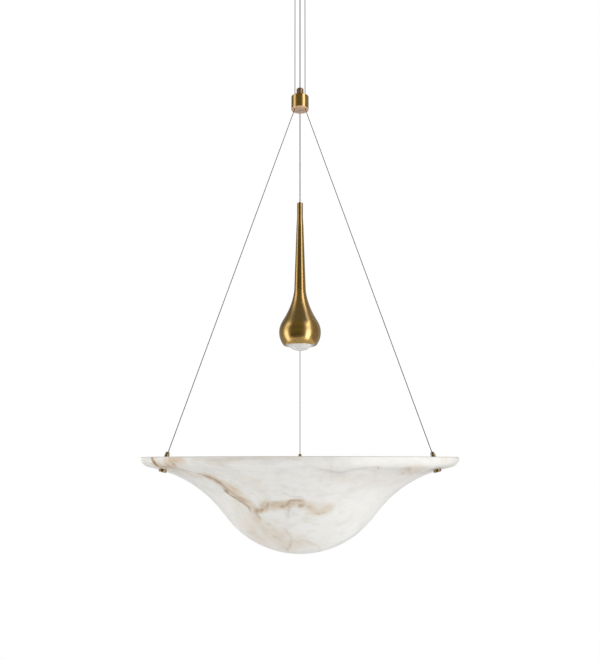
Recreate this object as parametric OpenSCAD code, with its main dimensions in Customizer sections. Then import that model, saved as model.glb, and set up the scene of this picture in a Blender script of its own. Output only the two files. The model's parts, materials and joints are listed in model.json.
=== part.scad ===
// Pendant light: a veined acrylic bowl on three steel cables, with a brass drop spot above it.
// Millimetres, +Z up, origin at the centre of the ceiling face. The viewer stands at -Y.

/* [Bowl] */
// Diameter of the rim
rim_d = 600; // [580:5:660]
// Rounding of the rim's lower edge
lip_r = 16.5; // [13:0.5:18]
// Flat land on top of the rim
land_w = 10; // [6:0.5:12]
// Slope of the flange, degrees
flange_slope = 15; // [13:0.5:17]
// Width of the flange from the rim to the bell
flange_w = 36.5; // [35:0.5:40]
// Radius of the hollow curve from flange to cup
bell_r = 219; // [205:1:230]
// Steepest slope of the outside, degrees
bell_angle = 50.5; // [48:0.5:52]
// Outer radius of the round cup
cup_r = 176; // [165:0.5:182]
// Wall of the flange
flange_wall = 11; // [9:0.5:13]
// Wall of the cup
cup_wall = 9; // [7:0.5:11]

/* [Suspension] */
// Height of the ceiling over the rim
rim_drop = 1030; // [1010:5:1200]
// Height of the hub's underside over the rim
hub_over_rim = 704; // [680:2:720]
// Radius of the circle of cables in the hub
cable_circle = 12; // [11.8:0.1:12.4]
// Diameter of the steel cable
cable_d = 1.5; // [1.2:0.1:1.6]
// Diameter of the power cord
cord_d = 2.6; // [2.4:0.1:2.8]
// Distance of the rim fittings from the axis
anchor_r = 276; // [273:0.5:278]

/* [Hub] */
// Diameter of the hub
hub_d = 35.6; // [34:0.2:40]
// Height of the hub with its base disc
hub_h = 30; // [26:1:36]
// Thickness of the base disc
base_t = 2.5; // [2:0.1:3.5]
// Diameter of the cord knob
knob_d = 14.4; // [13.6:0.2:15]
// Height of the cord knob
knob_h = 17; // [16:0.5:20]
// Diameter of the boss that the knob turns on
boss_d = 9; // [8.6:0.2:9.6]
// Height of that boss
boss_h = 8; // [6:0.5:9]

/* [Drop] */
// Height of the stem's top over the rim
stem_over_rim = 506; // [480:2:520]
// Length of the stem
stem_l = 179; // [170:1:200]
// Diameter of the stem's top
stem_top_d = 11.8; // [11:0.1:12.4]
// Diameter of the stem below its shoulder
stem_shoulder_d = 14.6; // [13.8:0.2:15.4]
// Diameter at the joint of stem and shell
seam_d = 22.8; // [21:0.2:24]
// Diameter of the drop
drop_d = 82; // [78:0.5:86]
// Steepest slope of the drop's neck off the vertical, degrees
neck_angle = 30; // [28:0.5:32]
// Radius of the hollow curve of the neck
neck_r = 140; // [130:1:150]
// Slope of the outline at the joint, degrees
seam_angle = 7; // [6:0.5:8]
// Diameter of the mouth
mouth_d = 56; // [54:0.5:58]
// Depth of the mouth's plane under the drop's widest line
mouth_depth = 26; // [24.5:0.5:27.5]
// Wall of the shell
shell_wall = 2; // [1.5:0.1:2.5]
// Radius of the lens dome
lens_r = 32.5; // [31:0.1:33]
// How far the dome stands out of the mouth
lens_out = 10.4; // [9.5:0.1:11]

/* [Rim fittings] */
// Diameter of the socket barrels
socket_d = 8.6; // [7.8:0.1:9]
// How far a socket stands over the flange's underside
socket_h = 30; // [27:0.5:34]
// Diameter of the rim nuts
nut_d = 14; // [13:0.5:15]
// Thickness of the rim nuts
nut_h = 5; // [4.6:0.1:6]
// Thickness of the clear washers
washer_t = 0.8; // [0.5:0.1:1.2]

/* [Ceiling] */
// Diameter of the canopy
canopy_d = 120; // [116:1:130]
// Height of the canopy
canopy_h = 30; // [29:0.5:33]
// Wall of the canopy
canopy_wall = 1.2; // [1:0.1:1.6]
// Diameter of the base plate
plate_d = 104; // [100:1:106]
// Thickness of the base plate
plate_t = 2; // [1.5:0.1:2.5]
// Distance between the two ceiling slots
slot_pitch = 84; // [82:1:86]
// Width of a ceiling slot
slot_w = 5; // [4:0.5:6]
// Length of a ceiling slot
slot_l = 10; // [8:0.5:12]
// Diameter of the mains hole
mains_d = 10; // [8:0.5:12]
// Depth of the bridge's web under the ceiling
bridge_drop = 18; // [17:0.5:19]
// Thickness of the bridge
bridge_t = 2; // [1.6:0.1:2.4]
// Diameter of the gripper barrels
gripper_d = 10; // [9.6:0.1:10.4]
// Length of a gripper barrel under the bridge
gripper_l = 24; // [22:0.5:28]
// How far a plunger stands out
plunger_out = 4; // [3.5:0.1:6]
// Travel of a plunger
plunger_travel = 2.5; // [2:0.1:3]

/* [Hidden] */
$fn = 64;

// Azimuths of the three cables
left_az = 210;
right_az = 330;
back_az = 90;
cable_az = [left_az, right_az, back_az];

// Clearances: seat is the gap of pieces that only rest together, fit that of a turning or sliding pair
seat = 0.3;
fit = 0.05;
bore_gap = 0.3;
eps = 1;

// Bowl, heights from the ceiling
rim_r = rim_d / 2;
rim_z = -rim_drop;
lip_drop = 1.5;
edge_r = 1.2;
lip_tx = rim_r - lip_r + lip_r * sin(flange_slope);
lip_tz = -lip_drop - lip_r * cos(flange_slope);
bell_x = rim_r - flange_w;
function under_z(r) = lip_tz - (lip_tx - r) * tan(flange_slope);
steep_x = bell_x - bell_r * (sin(bell_angle) - sin(flange_slope));
steep_z = under_z(bell_x) - bell_r * (cos(flange_slope) - cos(bell_angle));
cup_x = cup_r * sin(bell_angle);
cup_z = steep_z - (steep_x - cup_x) * tan(bell_angle);
cup_centre_z = cup_z + cup_r * cos(bell_angle);
arc_steps = 14;
lip_steps = 6;
step_angle = 45;

// Hub
hub_bottom_z = rim_z + hub_over_rim;
hub_top_z = hub_bottom_z + hub_h;
hub_r = hub_d / 2;
hub_edge = 1;
cable_hole_d = cable_d + 2 * bore_gap;
cord_hole_d = cord_d + 2 * bore_gap;
trumpet_d = cable_hole_d + 3.2;
bush_d = 6.4;
bush_flange = 1;
bush_flange_d = 7.2;
hub_screw_x = 5.6;
hub_screw_d = 2;
hub_screw_l = 7;
hub_screw_out = 0.4;
hub_key_d = 1.1;
hub_key_depth = 0.8;
collet_h = 5;
hub_cable_low_z = hub_bottom_z + 2.1;

// Ceiling
web_z = -bridge_drop;
web_low_z = web_z - bridge_t;
gripper_low_z = web_low_z - gripper_l;
mouth_z = gripper_low_z - plunger_out;
shank_d = 8;
nut_t = 3;
lock_nut_d = 12;
shank_top_z = web_z + nut_t + 2;
gland_d = 8;
gland_thread_d = 6.5;
gland_low_z = gripper_low_z + 3;
gland_top_z = web_z + 4;
plunger_d = 5;
plunger_head_d = 6.6;
plunger_head_h = 4;
plunger_bore_d = 2.4;
ball_turns = [0, 120, 240];
ball_d = 2;
chamber_d = 7.4;
chamber_z = gripper_low_z + 5;
cone_h = 3;
chamber_h = 14;
spring_wire = 0.6;
spring_d = chamber_d - 0.6;
bridge_x = 33;
bridge_y = 36;
bridge_foot = 8;
plate_screw_d = 2.9;
plate_screw_x = bridge_x + 2.6;
plate_screw_y = (bridge_y - bridge_foot) / 2;
pan_w = 1.8;
pan_h = 0.6;
driver_l = 56;
driver_w = 25;
driver_h = 19;
driver_y = bridge_y / 2 + 2;
driver_ear = 3;
ear_w = 10;
ear_in = 3.5;
block_l = 26;
block_w = 16;
block_h = 12;
block_y = 27;
block_x = -6;
block_ways = 3;
way_d = 4;
way_depth = 7;
way_slot = 1.2;
way_slot_depth = 4;
lug_in = 6;
lug_t = 2;
wire_d = 1.8;
wire_x = [-18, -22];
wire_z = -plate_t - 2.2;
tab_w = 14;
tab_x = plate_d / 2 - 4;
tab_t = 1.5;
tab_h = 12;
side_screw_z = -8;
side_screw_d = 4;
side_head_d = 9;
side_head_l = 6;
side_dish_d = 5;
side_dish_h = 1;
tail_bend = 6;
tail_run = 10;
tail_top_z = -8.5;
cord_bend = 6;
cord_plug_l = 3;
cord_run = driver_y - cord_bend + cord_plug_l - 0.5;

// Swing of the lamp on its cables: the free cable starts a little inside the plunger
cable_entry = 1.5;
tail_gap = 3;

// Rim fittings, worked out along the axis of a socket from the flange's underside
anchor_z = rim_z + under_z(anchor_r);
washer_gap = 0.05;
washer_low = -washer_gap - washer_t;
washer_top = flange_wall + washer_gap + washer_t;
socket_low = washer_low - nut_h + 0.5;
collar_d = 11.8;
collar_h = 1.6;
hole_d = socket_d + 2 * bore_gap;
socket_bore_d = 5.4;
socket_cap = 3;
socket_tip_d = 5.8;
socket_cone_h = 5;
cable_end_d = 4.8;
cable_end_h = socket_h - socket_cap - cable_end_d / 2 - 0.6;
socket_mouth_d = cable_d + 2.2;
washer_d = collar_d + 0.5;
nut_slot_w = 1.2;
nut_slot_h = 0.6;
nut_top = washer_low - seat / 2;
end_x = anchor_r - cable_end_h * sin(flange_slope);
end_z = anchor_z + cable_end_h * cos(flange_slope);
exit_z = hub_bottom_z + 0.9;
cable_dx = cable_circle - end_x;
cable_dz = exit_z - end_z;
cable_lean = atan2(-cable_dx, cable_dz);
lower_cable_l = sqrt(cable_dx * cable_dx + cable_dz * cable_dz);

// Drop
stem_top_z = rim_z + stem_over_rim;
seam_z = stem_top_z - stem_l;
spigot_d = 10;
spigot_l = 34;
stem_bore_d = 4;
shoulder_top = 26;
shoulder_low = 58;
ferrule_ball_d = 5.6;
ferrule_drop = 3.6;
ferrule_neck_d = 3.6;
ferrule_d = 4;
ferrule_h = 1;
ferrule_gap = 0.8;
ferrule_z = stem_top_z - ferrule_drop;
ferrule_top_z = stem_top_z + ferrule_gap + ferrule_h;
socket_seat_r = ferrule_ball_d / 2 + 0.15;
drop_r = drop_d / 2;
neck_top_r = seam_d / 2;
neck_z = -neck_r * (sin(neck_angle) - sin(seam_angle));
neck_x = neck_top_r + neck_r * (cos(seam_angle) - cos(neck_angle));
ball_x = drop_r * cos(neck_angle);
cone_dz = (ball_x - neck_x) / tan(neck_angle);
ball_z = neck_z - cone_dz - drop_r * sin(neck_angle);
drop_z = seam_z + ball_z;
mouth_plane_z = drop_z - mouth_depth;
mouth_r = mouth_d / 2;
mouth_a = asin(mouth_depth / drop_r);
mouth_land = 6;
neck_steps = 8;
ball_steps = 16;
lens_wall = 2.5;
lens_z = mouth_plane_z - lens_out + lens_r;
ring_h = 2.2;
ring_wall = 1.5;
ring_d = mouth_d - 2 * seat;
key_w = 2;
key_h = 0.8;
ring_z = mouth_plane_z + 0.3;
flange_t = 2;
lens_cut_z = ring_z + ring_h + seat;
lens_flange_d = mouth_d - 0.6;
reflector_z = lens_cut_z + flange_t + 0.2;
sink_z = drop_z + 4;
sink_base_h = 4;
sink_fin_h = 21;
sink_d = 48;
sink_core_d = 16;
fin_t = 1.6;
fin_turns = [0 : 30 : 150];
fin_in = 1.5;
sink_core_h = seam_z - spigot_l + 8 - sink_z;
module_d = 28;
module_t = 1.6;
chip_d = 12;
chip_t = 1;

mains_y = bridge_y / 2 + 2.5;
head_low_z = chamber_z + cone_h - 0.2;
head_top_z = head_low_z + plunger_head_h;
spring_low_z = head_top_z + seat;
spring_top_z = chamber_z + chamber_h - seat;
canopy_low_z = -canopy_h;
canopy_edge = 2;
canopy_gap = 0.5;
floor_cut = 5;
wall_x = canopy_d / 2 - canopy_wall;
knob_top_z = hub_top_z + seat + knob_h;
cord_exit_z = hub_bottom_z - bush_flange;
boss_top_z = hub_top_z + boss_h;
collet_low_d = 7.4;
collet_high_d = 5;
collet_gap = 0.2;
collet_z = boss_top_z + 0.1;
shoulder_steps = 6;
reflector_top_z = sink_z - module_t - 0.2;
lens_top_r = sqrt(lens_r * lens_r - (lens_cut_z - lens_z) * (lens_cut_z - lens_z));
lens_top_a = acos(lens_top_r / lens_r);
lens_inner_r = lens_r - lens_wall;
lens_inner_a = asin((lens_z - lens_cut_z - flange_t) / lens_inner_r);
land_z = mouth_plane_z + mouth_land;
cavity_top_z = seam_z - 22;

// Points of an arc in the plane of an outline
function arc(x, z, r, from, to, n) = [
    for (i = [0 : n])
        [x + r * cos(from + (to - from) * i / n), z + r * sin(from + (to - from) * i / n)]
];
function mix(a, b, t) = a + (b - a) * t;
function smooth(t) = t * t * (3 - 2 * t);
function reversed(points) = [for (i = [len(points) - 1 : -1 : 0]) points[i]];

// Carries children to one rim fitting: +Z along the socket, origin on the flange's underside
module at_anchor(az) {
    rotate([0, 0, az])
    translate([anchor_r, 0, anchor_z])
    rotate([0, -flange_slope, 0])
    children();
}

// Carries children to one cable of the straight upper bundle
module at_cable(az) {
    rotate([0, 0, az])
    translate([cable_circle, 0, 0])
    children();
}

module rod(d, low, high) {
    translate([0, 0, low])
    cylinder(h = high - low, d = d);
}

module cone(d_low, d_high, low, high) {
    translate([0, 0, low])
    cylinder(h = high - low, d1 = d_low, d2 = d_high);
}

module ring(outer, inner, low, high) {
    difference() {
        rod(outer, low, high);
        rod(inner, low - eps, high + eps);
    }
}

// Ceiling plate, bridge and electrics
module tab(side) {
    translate([side * tab_x - tab_t / 2, -tab_w / 2, -tab_h])
    cube([tab_t, tab_w, tab_h - plate_t / 2]);
}

module slot(side) {
    for (end = [-1, 1])
        translate([side * slot_pitch / 2 + end * (slot_l - slot_w) / 2, 0, -plate_t - eps])
        cylinder(h = plate_t + 2 * eps, d = slot_w);
    translate([side * slot_pitch / 2 - (slot_l - slot_w) / 2, -slot_w / 2, -plate_t - eps])
    cube([slot_l - slot_w, slot_w, plate_t + 2 * eps]);
}

module base_plate() {
    color("lightgray")
    difference() {
        union() {
            rod(plate_d, -plate_t, 0);
            tab(-1);
            tab(1);
        }
        slot(-1);
        slot(1);
        translate([0, mains_y, 0])
        rod(mains_d, -plate_t - eps, eps);
    }
}

module gripper_bridge() {
    color("silver")
    difference() {
        union() {
            translate([-bridge_x, -bridge_y / 2, web_low_z])
            cube([2 * bridge_x, bridge_y, bridge_t]);
            for (side = [-1, 1]) {
                translate([side * (bridge_x - bridge_t / 2) - bridge_t / 2, -bridge_y / 2, web_low_z])
                cube([bridge_t, bridge_y, -plate_t - web_low_z]);
                for (end = [-1, 1])
                    translate([side * bridge_x - (side < 0 ? bridge_foot - bridge_t : bridge_t),
                               end * (bridge_y - bridge_foot) / 2 - bridge_foot / 2, -plate_t - bridge_t])
                    cube([bridge_foot, bridge_foot, bridge_t]);
            }
        }
        for (az = cable_az)
            at_cable(az)
            rod(shank_d + 2 * fit, web_low_z - eps, web_z + eps);
        rod(gland_thread_d, web_low_z - eps, web_z + eps);
        for (x = [-1, 1], y = [-1, 1])
            translate([x * plate_screw_x, y * plate_screw_y, 0])
            rod(plate_screw_d + 2 * fit, -plate_t - bridge_t - eps, -plate_t + eps);
    }
}

module pan_screw(d, l, top) {
    rod(d, top - l, top);
    rod(d * pan_w, top - l - d * pan_h, top - l);
}

module bracket_screws() {
    color("gainsboro") {
        for (x = [-1, 1], y = [-1, 1])
            translate([x * plate_screw_x, y * plate_screw_y, 0])
            pan_screw(plate_screw_d, bridge_t, -plate_t);
        for (x = [-1, 1])
            translate([x * (driver_l / 2 - ear_in), -driver_y - driver_w + ear_in, 0])
            pan_screw(plate_screw_d, driver_ear, -plate_t);
        translate([block_x + block_l / 2 + lug_in, block_y + lug_in, 0])
        pan_screw(plate_screw_d, lug_t, -plate_t);
    }
}

module led_driver() {
    color("white")
    difference() {
        translate([-driver_l / 2, -driver_y - driver_w, -plate_t - driver_h])
        cube([driver_l, driver_w, driver_h]);
        for (x = [-1, 1])
            translate([x * (driver_l / 2 - ear_in), -driver_y - driver_w + ear_in, 0]) {
                rod(plate_screw_d + 2 * fit, -plate_t - driver_ear - eps, -plate_t + eps);
                translate([-ear_w / 2, -ear_w / 2, -plate_t - driver_h - eps])
                cube([ear_w, ear_w, driver_h + eps - driver_ear]);
            }
        translate([0, -driver_y + eps, tail_top_z])
        rotate([90, 0, 0])
        cylinder(h = cord_plug_l + eps, d = cord_hole_d + 0.6);
    }
}

function way_x(i) = block_x - block_l / 2 + block_l * i / block_ways;

module terminal_block() {
    color("ivory")
    difference() {
        union() {
            translate([block_x - block_l / 2, block_y, -plate_t - block_h])
            cube([block_l, block_w, block_h]);
            translate([block_x + block_l / 2 - eps, block_y, -plate_t - lug_t])
            cube([2 * lug_in + eps, 2 * lug_in, lug_t]);
        }
        translate([block_x + block_l / 2 + lug_in, block_y + lug_in, 0])
        rod(plate_screw_d + 2 * fit, -plate_t - lug_t - eps, -plate_t + eps);
        for (i = [0 : block_ways - 1])
            translate([way_x(i + 0.5), block_y + block_w / 2, 0])
            rod(way_d, -plate_t - block_h - eps, -plate_t - block_h + way_depth);
        for (i = [1 : block_ways - 1])
            translate([way_x(i) - way_slot / 2, block_y - eps, -plate_t - block_h - eps])
            cube([way_slot, block_w + 2 * eps, way_slot_depth + eps]);
    }
}

module driver_wires() {
    color("saddlebrown")
    for (x = wire_x)
        translate([x, block_y, wire_z])
        rotate([90, 0, 0])
        cylinder(h = block_y + driver_y, d = wire_d);
}

// Cable grippers
module gripper() {
    difference() {
        union() {
            rod(gripper_d, gripper_low_z, web_low_z);
            rod(shank_d, web_low_z, shank_top_z);
        }
        rod(plunger_d + 2 * fit, gripper_low_z - eps, chamber_z);
        cone(plunger_d + 2 * fit, chamber_d, chamber_z, chamber_z + cone_h);
        rod(chamber_d, chamber_z + cone_h, chamber_z + chamber_h);
        rod(cable_hole_d, chamber_z, shank_top_z + eps);
    }
}

module gripper_at(az) {
    color("darkgoldenrod")
    at_cable(az)
    gripper();
}

module gripper_nuts() {
    color("silver")
    for (az = cable_az)
        at_cable(az)
        translate([0, 0, web_z])
        difference() {
            cylinder(h = nut_t, d = lock_nut_d, $fn = 6);
            translate([0, 0, -eps])
            cylinder(h = nut_t + 2 * eps, d = shank_d + 2 * fit);
        }
}

module plunger_at(az) {
    color("goldenrod")
    at_cable(az)
    difference() {
        union() {
            rod(plunger_d, mouth_z, head_low_z);
            rod(plunger_head_d, head_low_z, head_top_z);
        }
        rod(plunger_bore_d, mouth_z - eps, head_top_z + eps);
        for (turn = ball_turns)
            rotate([0, 0, turn])
            translate([0, 0, head_low_z + plunger_head_h / 2])
            rotate([0, 90, 0])
            cylinder(h = plunger_head_d, d = ball_d + 2 * fit);
    }
}

module balls_at(az) {
    color("silver")
    at_cable(az)
    for (turn = ball_turns)
        rotate([0, 0, turn])
        translate([cable_d / 2 + ball_d / 2 + 0.2, 0, head_low_z + plunger_head_h / 2])
        sphere(d = ball_d);
}

module spring_at(az) {
    color("gray")
    at_cable(az)
    ring(spring_d, spring_d - 2 * spring_wire, spring_low_z, spring_top_z);
}

// A straight cable that bends over into a run along a given direction
module tail(low, d, bend, run, turn) {
    rotate([0, 0, turn]) {
        rod(d, low, tail_top_z - bend);
        translate([bend, 0, tail_top_z - bend])
        rotate([90, 0, 180])
        rotate_extrude(angle = 90)
        translate([bend, 0])
        circle(d = d);
        translate([bend, 0, tail_top_z])
        rotate([0, 90, 0])
        cylinder(h = run, d = d);
    }
}

module cable_tails() {
    color("lightgray") {
        at_cable(left_az)
        tail(mouth_z + tail_gap, cable_d, tail_bend, tail_run, 180 - left_az);
        at_cable(right_az)
        tail(mouth_z + tail_gap, cable_d, tail_bend, tail_run, -right_az);
        at_cable(back_az)
        tail(mouth_z + tail_gap, cable_d, tail_bend, tail_run, -back_az);
    }
}

module cord_gland() {
    color("darkgoldenrod")
    difference() {
        union() {
            rod(gland_d, gland_low_z, web_low_z);
            rod(gland_thread_d - 2 * fit, web_low_z, gland_top_z);
        }
        rod(cord_hole_d, gland_low_z - eps, gland_top_z + eps);
    }
}

module cord_tail() {
    color("gray")
    tail(mouth_z + seat, cord_d, cord_bend, cord_run, -90);
}

// Canopy
module canopy_cover() {
    color("darkgoldenrod")
    difference() {
        rotate_extrude($fn = 128)
        polygon(concat(
            [[0, canopy_low_z], [canopy_d / 2 - canopy_edge, canopy_low_z]],
            [[canopy_d / 2, canopy_low_z + canopy_edge], [canopy_d / 2, -canopy_gap]],
            [[wall_x, -canopy_gap], [wall_x, canopy_low_z + canopy_edge + 0.5]],
            [[wall_x - canopy_edge + 0.5, canopy_low_z + canopy_wall], [0, canopy_low_z + canopy_wall]]
        ));
        for (az = cable_az)
            at_cable(az)
            rod(gripper_d + 2 * seat, canopy_low_z - eps, canopy_low_z + floor_cut);
        rod(gland_d + 2 * seat, canopy_low_z - eps, canopy_low_z + floor_cut);
        for (side = [-1, 1])
            translate([side * wall_x - floor_cut, 0, side_screw_z])
            rotate([0, 90, 0])
            cylinder(h = 2 * floor_cut, d = side_screw_d + 2 * fit);
    }
}

module side_screw(side) {
    tip_x = tab_x + tab_t / 2 + seat;
    color("darkgoldenrod")
    rotate([0, 0, side < 0 ? 180 : 0])
    translate([0, 0, side_screw_z])
    rotate([0, 90, 0]) {
        rod(side_screw_d, tip_x, canopy_d / 2 + 1);
        difference() {
            rod(side_head_d, canopy_d / 2 + seat, canopy_d / 2 + side_head_l);
            rod(side_dish_d, canopy_d / 2 + side_head_l - side_dish_h, canopy_d / 2 + side_head_l + eps);
        }
    }
}

// Free cables above the hub
module upper_cable(az) {
    color("lightgray")
    at_cable(az)
    rod(cable_d, hub_top_z + seat, mouth_z + cable_entry);
}

module upper_cord() {
    color("gray")
    rod(cord_d, knob_top_z + 0.2, mouth_z - seat / 2);
}

// Hub
module hub_holes(low, high) {
    for (az = cable_az)
        at_cable(az)
        rod(cable_hole_d, low, high);
}

module hub_body() {
    color("darkgoldenrod")
    difference() {
        union() {
            rotate_extrude()
            polygon([
                [0, hub_bottom_z + base_t],
                [hub_r, hub_bottom_z + base_t],
                [hub_r, hub_top_z - hub_edge],
                [hub_r - hub_edge, hub_top_z],
                [0, hub_top_z]
            ]);
            rod(boss_d, hub_top_z - eps, hub_top_z + boss_h);
        }
        hub_holes(hub_bottom_z, hub_top_z + eps);
        rod(cord_hole_d, hub_bottom_z, hub_top_z + boss_h + eps);
        for (side = [-1, 1])
            translate([side * hub_screw_x, 0, 0])
            rod(hub_screw_d + 2 * fit, hub_bottom_z, hub_bottom_z + hub_screw_l + 1);
    }
}

module hub_base() {
    color("burlywood")
    difference() {
        rotate_extrude()
        polygon([
            [0, hub_bottom_z],
            [hub_r - hub_edge, hub_bottom_z],
            [hub_r, hub_bottom_z + hub_edge],
            [hub_r, hub_bottom_z + base_t],
            [0, hub_bottom_z + base_t]
        ]);
        hub_holes(hub_bottom_z - eps, hub_bottom_z + base_t + eps);
        for (az = cable_az)
            at_cable(az)
            cone(trumpet_d, cable_hole_d, hub_bottom_z - 0.01, hub_bottom_z + base_t);
        rod(bush_d + 2 * fit, hub_bottom_z - eps, hub_bottom_z + base_t + eps);
        for (side = [-1, 1])
            translate([side * hub_screw_x, 0, 0])
            rod(hub_screw_d + 2 * fit, hub_bottom_z - eps, hub_bottom_z + base_t + eps);
    }
}

module hub_screws() {
    color("peru")
    for (side = [-1, 1])
        translate([side * hub_screw_x, 0, 0])
        difference() {
            rod(hub_screw_d, hub_bottom_z - hub_screw_out, hub_bottom_z + hub_screw_l);
            translate([0, 0, hub_bottom_z - hub_screw_out - eps])
            cylinder(h = hub_key_depth + eps, d = hub_key_d, $fn = 6);
        }
}

module hub_cables() {
    color("lightgray")
    for (az = cable_az)
        at_cable(az)
        rod(cable_d, hub_cable_low_z, hub_top_z);
}

module cord_bush() {
    color("dimgray")
    difference() {
        union() {
            rod(bush_d, hub_bottom_z, hub_bottom_z + base_t);
            rod(bush_flange_d, hub_bottom_z - bush_flange, hub_bottom_z);
        }
        rod(cord_hole_d, hub_bottom_z - bush_flange - eps, hub_bottom_z + base_t + eps);
    }
}

module hub_cord() {
    color("gray")
    rod(cord_d, cord_exit_z + 0.1, knob_top_z - 0.1);
}

module cord_collet() {
    color("white")
    difference() {
        cone(collet_low_d, collet_high_d, collet_z, collet_z + collet_h);
        rod(cord_hole_d, collet_z - eps, collet_z + collet_h + eps);
    }
}

module cord_knob() {
    color("saddlebrown")
    difference() {
        rotate_extrude()
        polygon(concat(
            [[0, hub_top_z + seat], [knob_d / 2, hub_top_z + seat]],
            arc(knob_d / 2 - 3, knob_top_z - 3, 3, 0, 90, 6),
            [[0, knob_top_z]]
        ));
        rod(boss_d + 2 * fit, hub_top_z, collet_z);
        cone(collet_low_d + 2 * collet_gap, collet_high_d + 2 * collet_gap,
             collet_z - fit, collet_z + collet_h + 0.4);
        rod(cord_hole_d, collet_z, knob_top_z + eps);
    }
}

// Bowl

// The outside from the lip to the top of the bell, heights from the rim
function outer_run() = concat(
    [for (i = [0 : lip_steps]) let (a = -(90 - flange_slope) * i / lip_steps)
        [rim_r - lip_r + lip_r * cos(a), -lip_drop + lip_r * sin(a)]],
    [[bell_x, under_z(bell_x)]]
);

function bell_point(t, wall) = let (a = mix(flange_slope, bell_angle, t), r = bell_r + wall)
    [bell_x + bell_r * sin(flange_slope) - r * sin(a),
     under_z(bell_x) - bell_r * cos(flange_slope) + r * cos(a)];

function cup_point(t, wall) = let (a = mix(bell_angle, 0, t), r = cup_r - wall)
    [r * sin(a), cup_centre_z - r * cos(a)];

function bell_run(wall) = [for (i = [1 : arc_steps]) bell_point(i / arc_steps, wall)];
function cup_run(wall) = [for (i = [0 : arc_steps]) cup_point(i / arc_steps, wall)];

// The inside thins from the flange to the cup along the bell
inner_bell = [for (i = [0 : arc_steps]) bell_point(i / arc_steps, mix(flange_wall, cup_wall, i / arc_steps))];
inner_line_z = under_z(rim_r - land_w) + flange_wall / cos(flange_slope);
land_drop = -inner_line_z / (1 - tan(flange_slope) / tan(step_angle));

module bowl_outline() {
    polygon(concat(
        outer_run(),
        bell_run(0),
        cup_run(0),
        reversed(cup_run(cup_wall)),
        reversed(inner_bell),
        [[rim_r - land_w - land_drop, -land_drop]],
        [[rim_r - land_w, 0], [rim_r - edge_r, 0], [rim_r, -edge_r]]
    ));
}

module bowl_shell() {
    color("whitesmoke")
    difference() {
        translate([0, 0, rim_z])
        rotate_extrude($fn = 180)
        bowl_outline();
        for (az = cable_az)
            at_anchor(az)
            rod(hole_d, -eps * 3, flange_wall + eps * 3);
    }
}

module socket_at(az) {
    color("darkgoldenrod")
    at_anchor(az)
    difference() {
        union() {
            rod(socket_d, socket_low, socket_h - socket_cone_h);
            cone(socket_d, socket_tip_d, socket_h - socket_cone_h, socket_h);
            rod(collar_d, washer_top, washer_top + collar_h);
        }
        rod(socket_bore_d, socket_low - eps, socket_h - socket_cap);
        rod(socket_mouth_d, socket_h - socket_cap - eps, socket_h + eps);
    }
}

module rim_washers() {
    color("white")
    for (az = cable_az)
        at_anchor(az) {
            ring(washer_d, hole_d, washer_low, -washer_gap);
            ring(washer_d, hole_d, flange_wall + washer_gap, washer_top);
        }
}

module nut_at(az) {
    color("darkgoldenrod")
    at_anchor(az)
    difference() {
        rod(nut_d, nut_top - nut_h, nut_top);
        rod(socket_d + 2 * fit, nut_top - nut_h - eps, nut_top + eps);
        translate([-nut_d / 2 - eps, -nut_slot_w / 2, nut_top - nut_h - eps])
        cube([nut_d + 2 * eps, nut_slot_w, eps + nut_slot_h]);
    }
}

module along_cable(az) {
    rotate([0, 0, az])
    translate([end_x, 0, end_z])
    rotate([0, -cable_lean, 0])
    children();
}

module cable_ends() {
    color("silver")
    for (az = cable_az)
        along_cable(az)
        difference() {
            sphere(d = cable_end_d);
            rod(cable_d + 0.1, 0, cable_end_d);
        }
}

module lower_cable(az) {
    color("lightgray")
    along_cable(az)
    rod(cable_d, 0.1, lower_cable_l);
}

// Drop
module lower_cord() {
    color("gray")
    rod(cord_d, ferrule_top_z + 0.1, cord_exit_z - seat);
}

module cord_ferrule() {
    color("goldenrod")
    difference() {
        union() {
            rod(ferrule_d, ferrule_top_z - ferrule_h, ferrule_top_z);
            rod(ferrule_neck_d, ferrule_z, ferrule_top_z - ferrule_h);
            translate([0, 0, ferrule_z])
            sphere(d = ferrule_ball_d);
        }
        rod(cord_d + 0.2, ferrule_z - ferrule_ball_d, ferrule_top_z + eps);
    }
}

module drop_stem() {
    color("darkgoldenrod")
    difference() {
        union() {
            rotate_extrude()
            polygon(concat(
                [[0, stem_top_z], [stem_top_d / 2 - 0.4, stem_top_z], [stem_top_d / 2, stem_top_z - 0.4]],
                [for (i = [0 : shoulder_steps])
                    [mix(stem_top_d, stem_shoulder_d, smooth(i / shoulder_steps)) / 2,
                     stem_top_z - mix(shoulder_top, shoulder_low, i / shoulder_steps)]],
                [[seam_d / 2, seam_z + seat], [0, seam_z + seat]]
            ));
            rod(spigot_d, seam_z - spigot_l, seam_z + eps);
        }
        translate([0, 0, ferrule_z])
        sphere(r = socket_seat_r);
        rod(ferrule_neck_d + 1.4, ferrule_z, stem_top_z + eps);
        rod(stem_bore_d, seam_z - spigot_l - eps, ferrule_z);
    }
}

module stem_cord() {
    color("gray")
    rod(cord_d, seam_z - spigot_l + 1, ferrule_z - ferrule_ball_d / 2 - 1);
}

// The shell's outline from the joint to the mouth, moved inward by a wall
function shell_run(wall) = concat(
    [for (i = [0 : neck_steps]) let (a = mix(seam_angle, neck_angle, i / neck_steps), r = neck_r + wall)
        [neck_top_r + neck_r * cos(seam_angle) - r * cos(a), neck_r * sin(seam_angle) - r * sin(a)]],
    [for (i = [0 : ball_steps]) let (a = mix(neck_angle, -mouth_a, i / ball_steps), r = drop_r - wall)
        [r * cos(a), ball_z + r * sin(a)]]
);

function inside(points, low, high) = [for (p = points) if (p[1] > low && p[1] < high) p];
cavity_run = inside(shell_run(shell_wall), land_z - seam_z + 1, cavity_top_z - seam_z - 1);

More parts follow.
